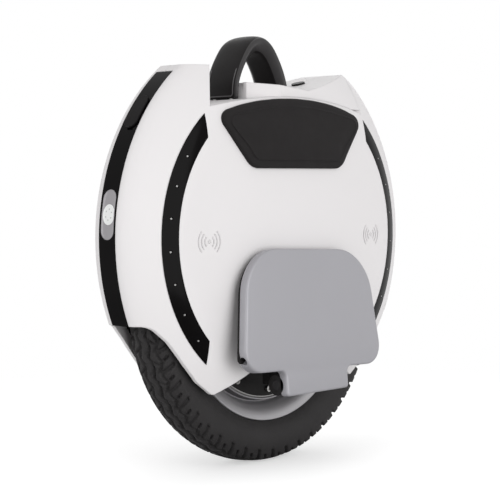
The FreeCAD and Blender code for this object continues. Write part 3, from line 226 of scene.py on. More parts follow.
def finish_of(name, colour, rough, metal=0.0, coat=0.0, specular=0.5, grain=900.0, raised=0.02,
              mottle=0.06, spread=0.08, edge=0.0006):
    """A procedural finish: mottled colour, clouded gloss, fine grain and softly rounded edges."""
    material, tree, output = new_material(name)
    shader = add(tree, "ShaderNodeBsdfPrincipled", Metallic=metal)
    shader.inputs["Coat Weight"].default_value = coat
    shader.inputs["Coat Roughness"].default_value = COAT_ROUGH
    shader.inputs["Specular IOR Level"].default_value = specular
    place = add(tree, "ShaderNodeTexCoord")
    slow = add(tree, "ShaderNodeTexNoise", Scale=MOTTLE_SCALE, Detail=3.0)
    cloud = add(tree, "ShaderNodeTexNoise", Scale=CLOUD_SCALE, Detail=4.0)
    fine = add(tree, "ShaderNodeTexNoise", Scale=grain, Detail=2.0)
    for noise in (slow, cloud, fine):
        tree.links.new(place.outputs["Object"], noise.inputs["Vector"])
    tone = add(tree, "ShaderNodeMix", data_type="RGBA")
    tone.inputs["A"].default_value = tuple(c * (1 - mottle) for c in colour) + (1,)
    tone.inputs["B"].default_value = tuple(min(1, c * (1 + mottle)) for c in colour) + (1,)
    tree.links.new(slow.outputs["Fac"], tone.inputs["Factor"])
    tree.links.new(tone.outputs["Result"], shader.inputs["Base Color"])
    gloss = add(tree, "ShaderNodeMapRange")
    gloss.inputs["To Min"].default_value = max(LEAST_ROUGH, rough - spread)
    gloss.inputs["To Max"].default_value = min(1, rough + spread)
    tree.links.new(cloud.outputs["Fac"], gloss.inputs["Value"])
    tree.links.new(gloss.outputs["Result"], shader.inputs["Roughness"])
    bump = add(tree, "ShaderNodeBump", Strength=raised, Distance=GRAIN_DEPTH)
    tree.links.new(fine.outputs["Fac"], bump.inputs["Height"])
    if edge:
        rounded = add(tree, "ShaderNodeBevel", Radius=edge, samples=4)
        tree.links.new(rounded.outputs["Normal"], bump.inputs["Normal"])
    tree.links.new(bump.outputs["Normal"], shader.inputs["Normal"])
    tree.links.new(shader.outputs["BSDF"], output.inputs["Surface"])
    return material


# %% [markdown]
# One finish for each material slot of the record, with the colours as they look in plain light. The white
# shell is satin and has little mirror reflection, since a glossy coat would go white at a low angle.

# %% The finishes of this part
FINISHES = {
    "shell_white": finish_of("satin_white_shell", (0.82, 0.80, 0.805), 0.46, specular=0.16, grain=260,
                             raised=0.01, mottle=0.012, edge=0.0022),
    "gloss_black": finish_of("piano_black", (0.0026, 0.0021, 0.0023), 0.14, specular=0.05, raised=0.004,
                             mottle=0.1, spread=0.04),
    "black_plastic": finish_of("textured_black_plastic", (0.0098, 0.0085, 0.0088), 0.46, specular=0.13,
                               grain=1500, raised=0.12),
    "pad_black": finish_of("soft_black_foam", (0.014, 0.0125, 0.0128), 0.72, specular=0.16, grain=1100,
                           raised=0.25),
    "pedal_metal": finish_of("silver_pedal_paint", (0.37, 0.365, 0.39), 0.42, metal=0.2, grain=1400,
                             raised=0.05, mottle=0.03, edge=0.0008),
    "mat_rubber": finish_of("grip_mat_rubber", (0.013, 0.0118, 0.012), 0.8, specular=0.2, grain=700,
                            raised=0.3),
    "rim_metal": finish_of("silver_rim_paint", (0.42, 0.41, 0.425), 0.34, metal=0.55, grain=1200,
                           raised=0.04, mottle=0.04),
    "motor_black": finish_of("satin_motor_black", (0.007, 0.006, 0.0062), 0.36, specular=0.16, grain=1300,
                             raised=0.06),
    "tyre_rubber": finish_of("tyre_rubber", (0.024, 0.0222, 0.0228), 0.6, specular=0.26, grain=700,
                             raised=0.3, mottle=0.25, edge=0.0),
    "tube_rubber": finish_of("tube_rubber", (0.03, 0.029, 0.03), 0.6, specular=0.25, grain=700, raised=0.1),
    "steel": finish_of("turned_steel", (0.52, 0.51, 0.5), 0.3, metal=1.0, grain=1800, raised=0.05,
                       edge=0.0003),
    "copper": finish_of("copper_windings", (0.62, 0.27, 0.14), 0.34, metal=1.0, grain=1500, raised=0.3),
    "valve_brass": finish_of("valve_brass", (0.55, 0.42, 0.2), 0.34, metal=1.0, grain=1500, raised=0.05),
    "hanger_metal": finish_of("black_hanger_casting", (0.013, 0.0118, 0.012), 0.46, specular=0.22,
                              grain=1000, raised=0.12),
    "battery_wrap": finish_of("blue_battery_wrap", (0.02, 0.09, 0.22), 0.3, grain=300, raised=0.2),
    "board_green": finish_of("green_board", (0.02, 0.16, 0.06), 0.38, grain=420, raised=0.3),
    "lens_clear": finish_of("smoky_lens", (0.30, 0.285, 0.30), 0.08, coat=0.6, raised=0.01, mottle=0.05),
    "lens_red": finish_of("red_lens", (0.3, 0.008, 0.01), 0.16, specular=0.25, raised=0.01),
    "lamp": finish_of("pale_lamp", (0.82, 0.82, 0.8), 0.2, coat=0.4, raised=0.02),
}
port_rubber = finish_of("port_cap_rubber", (0.0075, 0.0066, 0.007), 0.6, specular=0.1, grain=900, raised=0.1)
dark_pin = finish_of("blackened_pin", (0.05, 0.048, 0.05), 0.35, metal=0.8, raised=0.05, edge=0.0003)
print(len(FINISHES), "finishes for the record's slots")


# %% [markdown]
# A CAD node keeps its mesh and gets its finish by the record's material slot. The rubber cap, the hinge
# pins and the hanger's screws share a slot with other pieces but are darker on the real object.

# %% Dress the CAD nodes
slot_of = {part["node"]: part["material_slot"] for part in frame["record"]["subparts"]}
for name, slot in slot_of.items():
    shape = nodes[name].data
    shape.materials.clear()
    shape.materials.append(FINISHES[slot])
nodes["charge_cap"].data.materials[0] = port_rubber
for name in nodes:
    if name.startswith("pedal_pin_") or name == "hanger_screws":
        nodes[name].data.materials[0] = dark_pin
print("dressed", len(slot_of), "of", len(nodes), "nodes")


# %% [markdown]
# A finished bmesh becomes an object in one place, so that no piece misses its body or its smooth shading.
# Most pieces come in pairs, so the right-hand one is modelled and the left-hand one is its mirror
# image. A mirror turns faces inside out, and they are turned back.

# %% From a bmesh to a piece
MM = 0.001
MERGE = 0.01 * MM


def piece(name, mesh, finishes, body, slot, *replaced, sharp=35.0):
    """Make a finished bmesh an object that is shaded smooth and rides on a body."""
    shape = bpy.data.meshes.new(name)
    mesh.to_mesh(shape)
    mesh.free()
    shape.polygons.foreach_set("use_smooth", [True] * len(shape.polygons))
    shape.set_sharp_from_angle(angle=math.radians(sharp))
    for finish in finishes if isinstance(finishes, (list, tuple)) else [finishes]:
        shape.materials.append(finish)
    thing = bpy.data.objects.new(name, shape)
    scene.collection.objects.link(thing)
    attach(thing, body)
    if replaced:
        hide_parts(*replaced)
    print(name, len(shape.polygons), "faces")
    return thing


def other_side(mesh):
    """A copy of a right-hand bmesh for the left-hand side, with its faces turned outwards again."""
    copy = mesh.copy()
    bmesh.ops.scale(copy, vec=(1, -1, 1), verts=copy.verts)
    bmesh.ops.reverse_faces(copy, faces=copy.faces)
    return copy


def both_sides(name, mesh, finish, body, slot, *replaced, sharp=35.0):
    """The right-hand and the left-hand piece of a form: {} in a name stands for the side."""
    pair = []
    for side, form in (("right", mesh.copy()), ("left", other_side(mesh))):
        own = [node.format(side) for node in replaced]
        pair.append(piece(name.format(side), form, finish, body.format(side), slot, *own, sharp=sharp))
    mesh.free()
    return pair


# %% [markdown]
# Many pieces here start as an outline in a side view and are then built up ring by ring towards a short
# spine in the middle. A ring is the last loop of edges, extruded and pulled in. The height of each ring
# is kept on Y while the flat form is made, and only then laid onto the curved body that carries it.

# %% Outlines, rings and turned forms
RING_MERGE = 0.05 * MM


def verts_in(made):
    """The vertices among what an operator made."""
    return [g for g in made if isinstance(g, bmesh.types.BMVert)]


def flat_face(corners, rounds, segments=8):
    """A face on y = 0 from (x, z) corners in millimetres, each corner rounded by its own bevel."""
    mesh = bmesh.new()
    ring = [mesh.verts.new((x * MM, 0, z * MM)) for x, z in corners]
    mesh.faces.new(ring)
    for size in sorted(set(rounds)):
        if size:
            chosen = [v for v, own in zip(ring, rounds) if own == size]
            bmesh.ops.bevel(mesh, geom=chosen, offset=size * MM, affect="VERTICES", segments=segments,
                            profile=0.5, material=-1)
    return mesh


def split_long(mesh, longest):
    """Divide every edge longer than a length, so that a form can follow a curve."""
    for edge in list(mesh.edges):
        cuts = int(edge.calc_length() / (longest * MM))
        if cuts:
            bmesh.ops.subdivide_edges(mesh, edges=[edge], cuts=cuts)


def ringed(mesh, spine_half, spine_z, steps, shares):
    """Build rings inwards from an outline.

    The steps are (inwards, height) in millimetres. The shares are (share of the way left, height), and
    the last one closes on the spine.
    """
    bmesh.ops.delete(mesh, geom=list(mesh.faces), context="FACES_ONLY")
    loop = list(mesh.edges)

    def pull(target, height):
        nonlocal loop
        made = bmesh.ops.extrude_edge_only(mesh, edges=loop)["geom"]
        for vert in verts_in(made):
            middle = Vector((max(-spine_half, min(spine_half, vert.co.x / MM)) * MM, 0, spine_z * MM))
            way = Vector((middle.x - vert.co.x, 0, middle.z - vert.co.z))
            vert.co += target(way)
            vert.co.y = height * MM
        loop = [g for g in made if isinstance(g, bmesh.types.BMEdge)]

    for inwards, height in steps:
        pull(lambda way: way.normalized() * (inwards * MM), height)
    left = 1.0
    for share, height in shares:
        pull(lambda way: way * (1 - share / left), height)
        left = share if share else 1.0
    bmesh.ops.remove_doubles(mesh, verts=mesh.verts, dist=RING_MERGE)
    bmesh.ops.recalc_face_normals(mesh, faces=mesh.faces)
    return mesh


def spun(profile, steps, centre_z):
    """Turn an outline of (radius, y) points in millimetres once round a line across the wheel."""
    mesh = bmesh.new()
    row = [mesh.verts.new((radius * MM, y * MM, centre_z * MM)) for radius, y in profile]
    edges = [mesh.edges.new(pair) for pair in zip(row, row[1:])]
    bmesh.ops.spin(mesh, geom=row + edges, cent=(0, 0, centre_z * MM), axis=(0, 1, 0),
                   angle=2 * math.pi, steps=steps, use_merge=True)
    bmesh.ops.remove_doubles(mesh, verts=mesh.verts, dist=MERGE)
    bmesh.ops.recalc_face_normals(mesh, faces=mesh.faces)
    return mesh


def smooth_line(points, cuts):
    """Points on a smooth curve through the given ones, a few between each pair."""
    line = []
    for index in range(len(points) - 1):
        a = Vector(points[max(0, index - 1)])
        b = Vector(points[index])
        c = Vector(points[index + 1])
        d = Vector(points[min(len(points) - 1, index + 2)])
        for cut in range(cuts):
            t = cut / cuts
            line.append(0.5 * (2 * b + (c - a) * t + (2 * a - 5 * b + 4 * c - d) * t * t
                               + (3 * b - a - 3 * c + d) * t ** 3))
    return line + [Vector(points[-1])]


# %% [markdown]
# The tyre is one ring of rubber with a block tread. A bump map could draw the blocks, but the edge of the
# tyre would stay smooth against the floor, so the grooves are real. The work starts with one fine section,
# spun through the length of a single block.

# %% Tyre: one block's length of plain rubber
AXLE_Z = 178.0
TREAD_BLOCKS = 48
TREAD_STEPS = 18
PITCH = 2 * math.pi * AXLE_Z / TREAD_BLOCKS
half_section = [(178.0, 0), (177.7, 5), (176.9, 11), (175.2, 17), (172.6, 21.6), (169.0, 24.4),
                (164.0, 26.2), (158.0, 26.95), (151.0, 26.7), (144.5, 25.0), (138.5, 22.2), (133.6, 18.9)]
fine = smooth_line(half_section[:7], 6)[:-1] + smooth_line(half_section[6:], 2)
section = [(r, -y) for r, y in fine[:0:-1]] + [(r, y) for r, y in fine]
tread = bmesh.new()
row = [tread.verts.new((radius * MM, y * MM, AXLE_Z * MM)) for radius, y in section]
edges = [tread.edges.new(pair) for pair in zip(row, row[1:])]
bmesh.ops.spin(tread, geom=row + edges, cent=(0, 0, AXLE_Z * MM), axis=(0, 1, 0),
               angle=2 * math.pi / TREAD_BLOCKS, steps=TREAD_STEPS)
print("section of", len(section), "points, block pitch", round(PITCH, 2), "mm")


# %% [markdown]
# The pattern has two zigzag grooves on each side of the crown, slanted slots between the shoulder blocks,
# narrower ones in the row beside them, and a short sipe in the middle of each shoulder block. A place on
# the tread is given by its turns, one for each block, and by its distance s from the crown along the
# section. Every vertex is pressed in by the depth of the groove that it lies in, as a mould would do it.

# %% Tyre: tread pattern
TREAD_EDGE = 33.0
GROOVE_WALL = 0.8
ZIGZAG_DEEP = 3.6
INNER_AT = 6.2
INNER_SWING = 2.0
INNER_HALF = 2.0
OUTER_AT = 16.4
OUTER_SWING = 2.6
OUTER_HALF = 2.2
SLOT_DEEP = 3.8
SLOT_HALF = 2.6
SLOT_SLANT = 0.02
SLOT_RUN_OUT = 2.0
SIPE_DEEP = 3.0
SIPE_AT = 24.5
SIPE_HALF_WIDE = 1.7
SIPE_HALF_LONG = 3.6
SIPE_SLANT = 0.025
MIDDLE_AT = 11
MIDDLE_DEEP = 2.8
MIDDLE_HALF = 1.7
CROWN_DEEP = 1.4
CROWN_HALF = 1.0
INNER_SLANT = 0.03

reach = []
walked = 0.0
for (r0, y0), (r1, y1) in zip(fine, fine[1:]):
    walked += math.hypot(r1 - r0, y1 - y0)
    reach.append((round(r1, 3), walked))


def across(radius):
    """How far along the section a radius lies from the crown."""
    last = (AXLE_Z, 0.0)
    for own, distance in reach:
        if own <= radius:
            gap = last[0] - own
            share = (last[0] - radius) / gap if gap else 0
            return last[1] + (distance - last[1]) * share
        last = (own, distance)
    return last[1]


def zigzag(turns):
    """A saw that runs from -1 to 1 and back once in each turn."""
    return 4 * abs(turns - math.floor(turns + 0.5)) - 1


def trough(distance, half_width):
    """1 on the bottom of a groove, 0 outside it, with a steep wall between."""
    return max(0.0, min(1.0, (half_width - abs(distance)) / GROOVE_WALL))


def nearest(turns):
    """Distance in millimetres to the nearest mark, of which there is one in each turn."""
    return (turns - math.floor(turns + 0.5)) * PITCH


def groove_depth(turns, s):
    """Depth of the tread pattern in millimetres at a place round and across the tread."""
    inner = INNER_AT + INNER_SWING * zigzag(turns + 0.25)
    outer = OUTER_AT + OUTER_SWING * zigzag(turns)
    depth = ZIGZAG_DEEP * max(trough(s - inner, INNER_HALF), trough(s - outer, OUTER_HALF))
    if s > outer:
        slot = nearest(turns - SLOT_SLANT * (s - OUTER_AT))
        run_out = max(0.0, min(1.0, (TREAD_EDGE - s) / SLOT_RUN_OUT))
        sipe = math.hypot(nearest(turns + 0.5 - SIPE_SLANT * (s - OUTER_AT)) / SIPE_HALF_WIDE,
                          (s - SIPE_AT) / SIPE_HALF_LONG)
        return max(depth, SLOT_DEEP * run_out * trough(slot, SLOT_HALF), SIPE_DEEP if sipe < 1 else 0.0)
    if s > inner:
        slot = nearest(turns + 0.5 + INNER_SLANT * (s - MIDDLE_AT))
        return max(depth, MIDDLE_DEEP * trough(slot, MIDDLE_HALF))
    slot = nearest(turns + 0.1 - INNER_SLANT * s)
    return max(depth, CROWN_DEEP * trough(slot, CROWN_HALF))


pressed = 0
for vert in tread.verts:
    out = Vector((vert.co.x, 0, vert.co.z - AXLE_Z * MM))
    s = across(out.length / MM)
    if s < TREAD_EDGE:
        turns = TREAD_BLOCKS * math.atan2(out.z, out.x) / (2 * math.pi)
        turns += 0.0 if vert.co.y > 0 else 0.5
        lean = Vector((out.x, 0, out.z)).normalized() * (1 - 0.5 * s / TREAD_EDGE)
        lean.y = math.copysign(0.7 * s / TREAD_EDGE, vert.co.y)
        vert.co -= lean * groove_depth(turns, s) * MM
        pressed += 1
print(pressed, "vertices of one block pressed")


# %% [markdown]
# One block is now copied and turned round the axle until the ring is closed. The stretch doubles each
# time, which is much quicker than one long spin.

# %% Tyre: the whole ring
def copy_round(mesh, copies, blocks):
    """Copy a stretch of the ring round the axle, a number of blocks further each time."""
    first = list(mesh.verts) + list(mesh.edges) + list(mesh.faces)
    for number in range(1, copies):
        made = bmesh.ops.duplicate(mesh, geom=first)["geom"]
        turn = Matrix.Rotation(2 * math.pi * blocks * number / TREAD_BLOCKS, 3, "Y")
        bmesh.ops.rotate(mesh, cent=(0, 0, AXLE_Z * MM), matrix=turn, verts=verts_in(made))


copy_round(tread, 3, 1)
for blocks in (3, 6, 12, 24):
    copy_round(tread, 2, blocks)
bmesh.ops.remove_doubles(tread, verts=tread.verts, dist=MERGE)
bmesh.ops.recalc_face_normals(tread, faces=tread.faces)
piece("tyre_tread", tread, FINISHES["tyre_rubber"], "wheel", "tyre_rubber", "tyre", sharp=60)


# %% [markdown]
# The rim is cast and painted silver. Its section has a rolled flange that holds the tyre, a full shoulder,
# a bead at the foot of the hub, a rough grey wall up to the motor cover and a bright machined lip round it.
# A closed section spun once gives all of them, and the wall's faces take a second finish, darker and
# rougher. A thin steel ring lies on the edge of each motor cover.

# %% Rim
RIM_STEPS = 240
WALL_RADII = (110.7, 112.6)
WALL_SIDES = (3.6, 12.3)
dish = smooth_line([(130.9, 19.7), (127.5, 18.6), (123.4, 16.6), (119.2, 13.6), (116.2, 10.0), (114.4, 6.2),
                    (113.9, 4.0)], 4)
half_rim = [(132.95, 18.6), (132.7, 19.5), (132.1, 19.95), (131.4, 19.9)] + [tuple(p) for p in dish]
half_rim += [(113.7, 3.3), (113.2, 3.0), (112.7, 3.1), (112.35, 3.9), (110.75, 11.6), (110.6, 12.5),
             (110.2, 12.95), (109.5, 12.95), (109.0, 12.6), (108.9, 9.2), (104.0, 9.0), (93.5, 9.0)]
rim_section = half_rim + [(r, -y) for r, y in half_rim[::-1]]
rim = spun(rim_section + rim_section[:1], RIM_STEPS, AXLE_Z)
for face in rim.faces:
    middle = face.calc_center_median() / MM
    radius = math.hypot(middle.x, middle.z - AXLE_Z)
    on_wall = WALL_RADII[0] < radius < WALL_RADII[1] and WALL_SIDES[0] < abs(middle.y) < WALL_SIDES[1]
    face.material_index = 1 if on_wall else 0
darker_wall = finish_of("darker_rough_wall", (0.13, 0.125, 0.13), 0.62, metal=0.4, grain=700, raised=0.35,
                      mottle=0.15)
piece("rim_casting", rim, [FINISHES["rim_metal"], darker_wall], "wheel", "rim_metal", "rim", sharp=40)

edge_ring = spun([(108.45, 11.7), (108.3, 12.5), (107.5, 13.12), (106.9, 13.1), (107.3, 12.4),
                  (108.45, 11.7)], RIM_STEPS, AXLE_Z)
both_sides("cover_edge_ring_{}", edge_ring, FINISHES["steel"], "wheel", "steel")


# %% [markdown]
# The knee pads are moulded foam with a skin: a low wall on the shell, a bevelled border, a fine ridge and
# a slightly full field inside it. A cloth simulation would round them like a cushion, and the real ones are
# stiff, so rings give that section. A ray from outside finds the shell under every vertex, so the pad
# follows the round body without a gap.

# %% Side pads
RAY_START = 0.4
SHELL_EDGE = 0.05
PAD_LIFT = 0.05


def under(node):
    """A tree of a CAD node's triangles, to find its surface with a ray."""
    mesh = bmesh.new()
    mesh.from_mesh(nodes[node].data)
    tree = BVHTree.FromBMesh(mesh)
    mesh.free()
    return tree


shell_skin = under("shell_right")


def shell_y(x, z):
    """Where the outside of the right-hand shell lies at a place in the side view."""
    hit = shell_skin.ray_cast(Vector((x, RAY_START, z)), Vector((0, -1, 0)))[0]
    return hit.y if hit else SHELL_EDGE


PAD_CORNERS = [(71, 318), (112, 368), (104, 377), (82, 383.4), (55.25, 388.4), (28, 391.3), (0, 392.3),
               (-28, 391.3), (-55.25, 388.4), (-82, 383.4), (-104, 377), (-112, 368), (-71, 318)]
PAD_ROUNDS = [9, 8, 4, 6, 6, 6, 6, 6, 6, 6, 4, 8, 9]
PAD_SPINE_HALF = 62
PAD_SPINE_Z = 352
pad_steps = [(0, 0), (0, 2.0), (0.1, 3.4), (0.8, 4.6), (1.8, 5.3), (2.6, 5.6), (2.6, 5.8), (0.5, 6.6),
             (0.5, 7.0), (0.6, 7.0), (0.6, 6.6), (0.8, 6.5)]
pad_shares = [(0.8, 6.7), (0.55, 7.1), (0.3, 7.4), (0.12, 7.5), (0, 7.5)]
pad = flat_face(PAD_CORNERS, PAD_ROUNDS)
split_long(pad, 6)
ringed(pad, PAD_SPINE_HALF, PAD_SPINE_Z, pad_steps, pad_shares)
for vert in pad.verts:
    vert.co.y += shell_y(vert.co.x, vert.co.z) + PAD_LIFT * MM
pads = both_sides("knee_pad_{}", pad, FINISHES["pad_black"], "chassis", "pad_black", "side_pad_{}", sharp=50)


# %% [markdown]
# The carrying handle is one arch of plastic, wide outside and narrower where the hand goes, with a textured
# rubber strip along the top and smooth sides. A curve with a bevel would keep one section all along, so a
# loop of the cross-section stands at each station of the arch instead, neighbouring loops are bridged, and
# two levels of subdivision round the whole. The finish of a face is chosen by its distance from the middle:
# the sides and a thin line near each edge of the top take a smoother finish with a lighter grey, which is
# painted sheen standing in for the lamp light that they reflect.

# %% Handle
HANDLE_X = 16.0
HANDLE_FOOT_Z = 384
HANDLE_OUTER = (43, 77)
HANDLE_INNER = (32, 59)
HANDLE_LEVELS = 2
SIDE_FROM = 18.5
# A thin line near each edge of the top, painted lighter as a highlight.
PAINTED_HIGHLIGHT_LINE = (16, 17.5)
HANDLE_STATIONS = [(0.985, 0.11), (0.99, 0.13), (1.0, 0.26), (0.96, 0.365), (0.893, 0.468), (0.815, 0.565),
                   (0.73, 0.649), (0.615, 0.75), (0.49, 0.844), (0.375, 0.91), (0.256, 0.955),
                   (0.13, 0.988), (0, 1)]
HANDLE_LOOP = [(0, 0.0), (9, 0.012), (15.5, 0.05), (20.6, 0.12), (22.5, 0.19), (23, 0.3), (22.4, 0.46),
               (18.6, 0.76), (15.0, 0.95), (12, 1.0), (6, 1.0), (0, 1.0)]
stations = HANDLE_STATIONS + [(-s, r) for s, r in HANDLE_STATIONS[-2::-1]]
loop_points = HANDLE_LOOP + [(-y, t) for y, t in HANDLE_LOOP[-2:0:-1]]


def on_arch(half_and_rise, span, rise):
    """A point (x, z) of the arch in millimetres, from its half width and rise and the station's shares."""
    half, full_rise = half_and_rise
    return Vector((HANDLE_X + half * span, HANDLE_FOOT_Z + full_rise * rise))


arch = bmesh.new()
loops = []
for span, rise in stations:
    ring = []
    for y, share in loop_points:
        spot = on_arch(HANDLE_OUTER, span, rise).lerp(on_arch(HANDLE_INNER, span, rise), share)
        ring.append(arch.verts.new((spot.x * MM, y * MM, spot.y * MM)))
    loops.append([arch.edges.new((ring[i - 1], ring[i])) for i in range(len(ring))])
for first, second in zip(loops, loops[1:]):
    bmesh.ops.bridge_loops(arch, edges=first + second)
bmesh.ops.holes_fill(arch, edges=loops[0] + loops[-1], sides=0)
bmesh.ops.recalc_face_normals(arch, faces=arch.faces)
for face in arch.faces:
    wide = abs(face.calc_center_median().y) / MM
    gets_painted_sheen = wide > SIDE_FROM or PAINTED_HIGHLIGHT_LINE[0] < wide < PAINTED_HIGHLIGHT_LINE[1]
    face.material_index = 1 if gets_painted_sheen else 0
# The sides' lighter grey is painted sheen, for the lamp light that they reflect; their lower roughness is
# their own.
side_sheen_painted = finish_of("smooth_handle_side", (0.036, 0.034, 0.035), 0.34, specular=0.3, grain=1500,
                        raised=0.05)
handle = piece("carrying_handle", arch, [FINISHES["black_plastic"], side_sheen_painted], "chassis", "black_plastic",
               "handle", sharp=70)
smoother = handle.modifiers.new("round", "SUBSURF")
smoother.levels = smoother.render_levels = HANDLE_LEVELS


# %% [markdown]
# A thin raised bead runs round three sides of each foot of the handle. Its light grey is painted highlight,
# for the light that its rim catches. It is a flat frame, given its thickness and then laid on the rounded
# handle by a ray, as the pads are laid on the shell.

# %% Beads on the handle
BEAD_HALF = 18.5
BEAD_LOW = 394
BEAD_HIGH = 424
BEAD_WIDE = 1.1
BEAD_THICK = 0.5
BEAD_SUNK = 0.1
handle_skin = BVHTree.FromObject(handle, bpy.context.evaluated_depsgraph_get())


def foot_bead(side):
    """A thin raised bead round three sides of a foot of the handle, in front (1) or at the rear (-1)."""
    mesh = flat_face([(-BEAD_HALF, BEAD_LOW), (BEAD_HALF, BEAD_LOW), (BEAD_HALF, BEAD_HIGH),
                      (-BEAD_HALF, BEAD_HIGH)], [4, 4, 0, 0])
    split_long(mesh, 4)
    field = list(mesh.faces)
    bmesh.ops.inset_region(mesh, faces=field, thickness=BEAD_WIDE * MM, use_boundary=True,
                           use_even_offset=True)
    top = [f for f in mesh.faces if f.calc_center_median().z > (BEAD_HIGH - 1) * MM]
    bmesh.ops.delete(mesh, geom=field + top, context="FACES")
    bmesh.ops.solidify(mesh, geom=list(mesh.faces), thickness=BEAD_THICK * MM)
    for vert in mesh.verts:
        start = Vector((HANDLE_X * MM + side * 0.2, vert.co.x, vert.co.z))
        hit = handle_skin.ray_cast(start, Vector((-side, 0, 0)))[0]
        vert.co = Vector((hit.x + side * (abs(vert.co.y) - BEAD_SUNK * MM), start.y, start.z))
    bmesh.ops.recalc_face_normals(mesh, faces=mesh.faces)
    return mesh


# The bead's light grey is a painted highlight, not the colour of the black plastic.
bead_painted_highlight = finish_of("painted_highlight_bead", (0.085, 0.082, 0.084), 0.4, grain=1500, raised=0.05, edge=0.0)
for place, side in (("front", 1), ("rear", -1)):
    piece("handle_bead_" + place, foot_bead(side), bead_painted_highlight, "chassis", "black_plastic")


# %% [markdown]
# The pedals need a few workshop tools: a plate with rounded rims, a tube for the knuckles of the hinge, a
# round cutter, and an exact boolean that takes one closed bmesh out of another.

# %% Tools for the pedals
PIVOT = Vector((0, 0.070, 0.092))
LEAN = Matrix.Rotation(math.radians(5), 3, "X")
ROUND_SEGMENTS = 48


def cut_by(mesh, cutter):
    """Take one closed bmesh out of another with an exact boolean, and give the result."""
    holders = []
    for part, name in ((mesh, "whole"), (cutter, "cutter")):
        shape = bpy.data.meshes.new(name)
        part.to_mesh(shape)
        part.free()
        holders.append(bpy.data.objects.new(name, shape))
        scene.collection.objects.link(holders[-1])
    tool = holders[0].modifiers.new("cut", "BOOLEAN")
    tool.operation = "DIFFERENCE"
    tool.solver = "EXACT"
    tool.object = holders[1]
    done = bmesh.new()
    done.from_object(holders[0], bpy.context.evaluated_depsgraph_get())
    for holder in holders:
        shape = holder.data
        bpy.data.objects.remove(holder)
        bpy.data.meshes.remove(shape)
    return done


def slab(corners, rounds, y0, y1, inner_rim, outer_rim):
    """A plate between two planes of Y with both rims rounded by a bevel."""
    mesh = flat_face(corners, rounds, segments=12)
    bmesh.ops.translate(mesh, vec=(0, y0 * MM, 0), verts=mesh.verts)
    made = bmesh.ops.extrude_face_region(mesh, geom=list(mesh.faces))["geom"]
    bmesh.ops.translate(mesh, vec=(0, (y1 - y0) * MM, 0), verts=verts_in(made))
    bmesh.ops.recalc_face_normals(mesh, faces=mesh.faces)
    for y, size in ((y0, inner_rim), (y1, outer_rim)):
        if size:
            rims = [e for e in mesh.edges if all(abs(v.co.y - y * MM) < 1e-6 for v in e.verts)]
            bmesh.ops.bevel(mesh, geom=rims, offset=size * MM, affect="EDGES", segments=4, profile=0.5,
                            material=-1)
    return mesh


def tube(x0, x1, inside, outside, soft):
    """A knuckle along the hinge line, with softened ends."""
    mesh = bmesh.new()
    profile = [(x0, inside), (x0, outside - soft), (x0 + soft, outside), (x1 - soft, outside),
               (x1, outside - soft), (x1, inside)]
    row = [mesh.verts.new((x * MM, PIVOT.y, PIVOT.z + r * MM)) for x, r in profile]
    edges = [mesh.edges.new((row[i - 1], row[i])) for i in range(len(row))]
    bmesh.ops.spin(mesh, geom=row + edges, cent=PIVOT, axis=(1, 0, 0), angle=2 * math.pi,
                   steps=ROUND_SEGMENTS, use_merge=True)
    bmesh.ops.remove_doubles(mesh, verts=mesh.verts, dist=MERGE)
    bmesh.ops.recalc_face_normals(mesh, faces=mesh.faces)
    return mesh


def rod(start, way, radius, length):
    """A plain round cutter."""
    mesh = bmesh.new()
    bmesh.ops.create_cone(mesh, cap_ends=True, segments=ROUND_SEGMENTS, radius1=radius * MM,
                          radius2=radius * MM, depth=length * MM)
    turn = way.to_track_quat("Z", "Y").to_matrix()
    bmesh.ops.translate(mesh, vec=(0, 0, length * MM / 2), verts=mesh.verts)
    bmesh.ops.rotate(mesh, cent=(0, 0, 0), matrix=turn, verts=mesh.verts)
    bmesh.ops.translate(mesh, vec=start, verts=mesh.verts)
    return mesh


def merged(*meshes):
    """Several bmeshes in one."""
    whole = bmesh.new()
    for mesh in meshes:
        shape = bpy.data.meshes.new("part")
        mesh.to_mesh(shape)
        mesh.free()
        whole.from_mesh(shape)
        bpy.data.meshes.remove(shape)
    return whole


print("pedals lean 5 degrees about", tuple(round(c, 3) for c in PIVOT))


# %% [markdown]
# A pedal is a cast plate painted silver, with large rounded corners, a heel that is flush with the mat, and
# a neck that runs down to two knuckles on the hinge pin. The outline is bevelled flat, extruded to its
# thickness and bevelled again along its rims. A cylinder cut makes room for the knuckle of the hanger, and
# a small one makes the recess in the lower corner. The pedal is made upright and then leaned to its place.

# %% Pedals
PLATE_BACK = 76
PLATE_FACE = 86
PLATE_BACK_RIM = 0.8
PLATE_FACE_RIM = 2.4
HEEL_BACK = 72.6
HEEL_FACE = 76.4
HEEL_TOP = 118.7
KNUCKLE_FROM = 28.4
KNUCKLE_TO = 50
KNUCKLE_BORE = 5.05
KNUCKLE_R = 11
KNUCKLE_SOFT = 0.8
HANGER_ROOM_R = 11.4
RECESS_MIDDLE = Vector((0.086, 0.07925, 0.135))
RECESS_SLOPE = math.radians(33)
RECESS_FROM = 14
RECESS_R = 4.5
RECESS_LONG = 16
PEDAL_CORNERS = [(-50, 80), (50, 80), (50, 107), (112, 109), (96, 236), (-96, 228), (-112, 101), (-50, 103)]
PEDAL_ROUNDS = [4, 4, 7, 26, 46, 46, 26, 7]
HEEL_CORNERS = [(-112, 101), (112, 109), (105.6, 160), (-104.6, 160)]

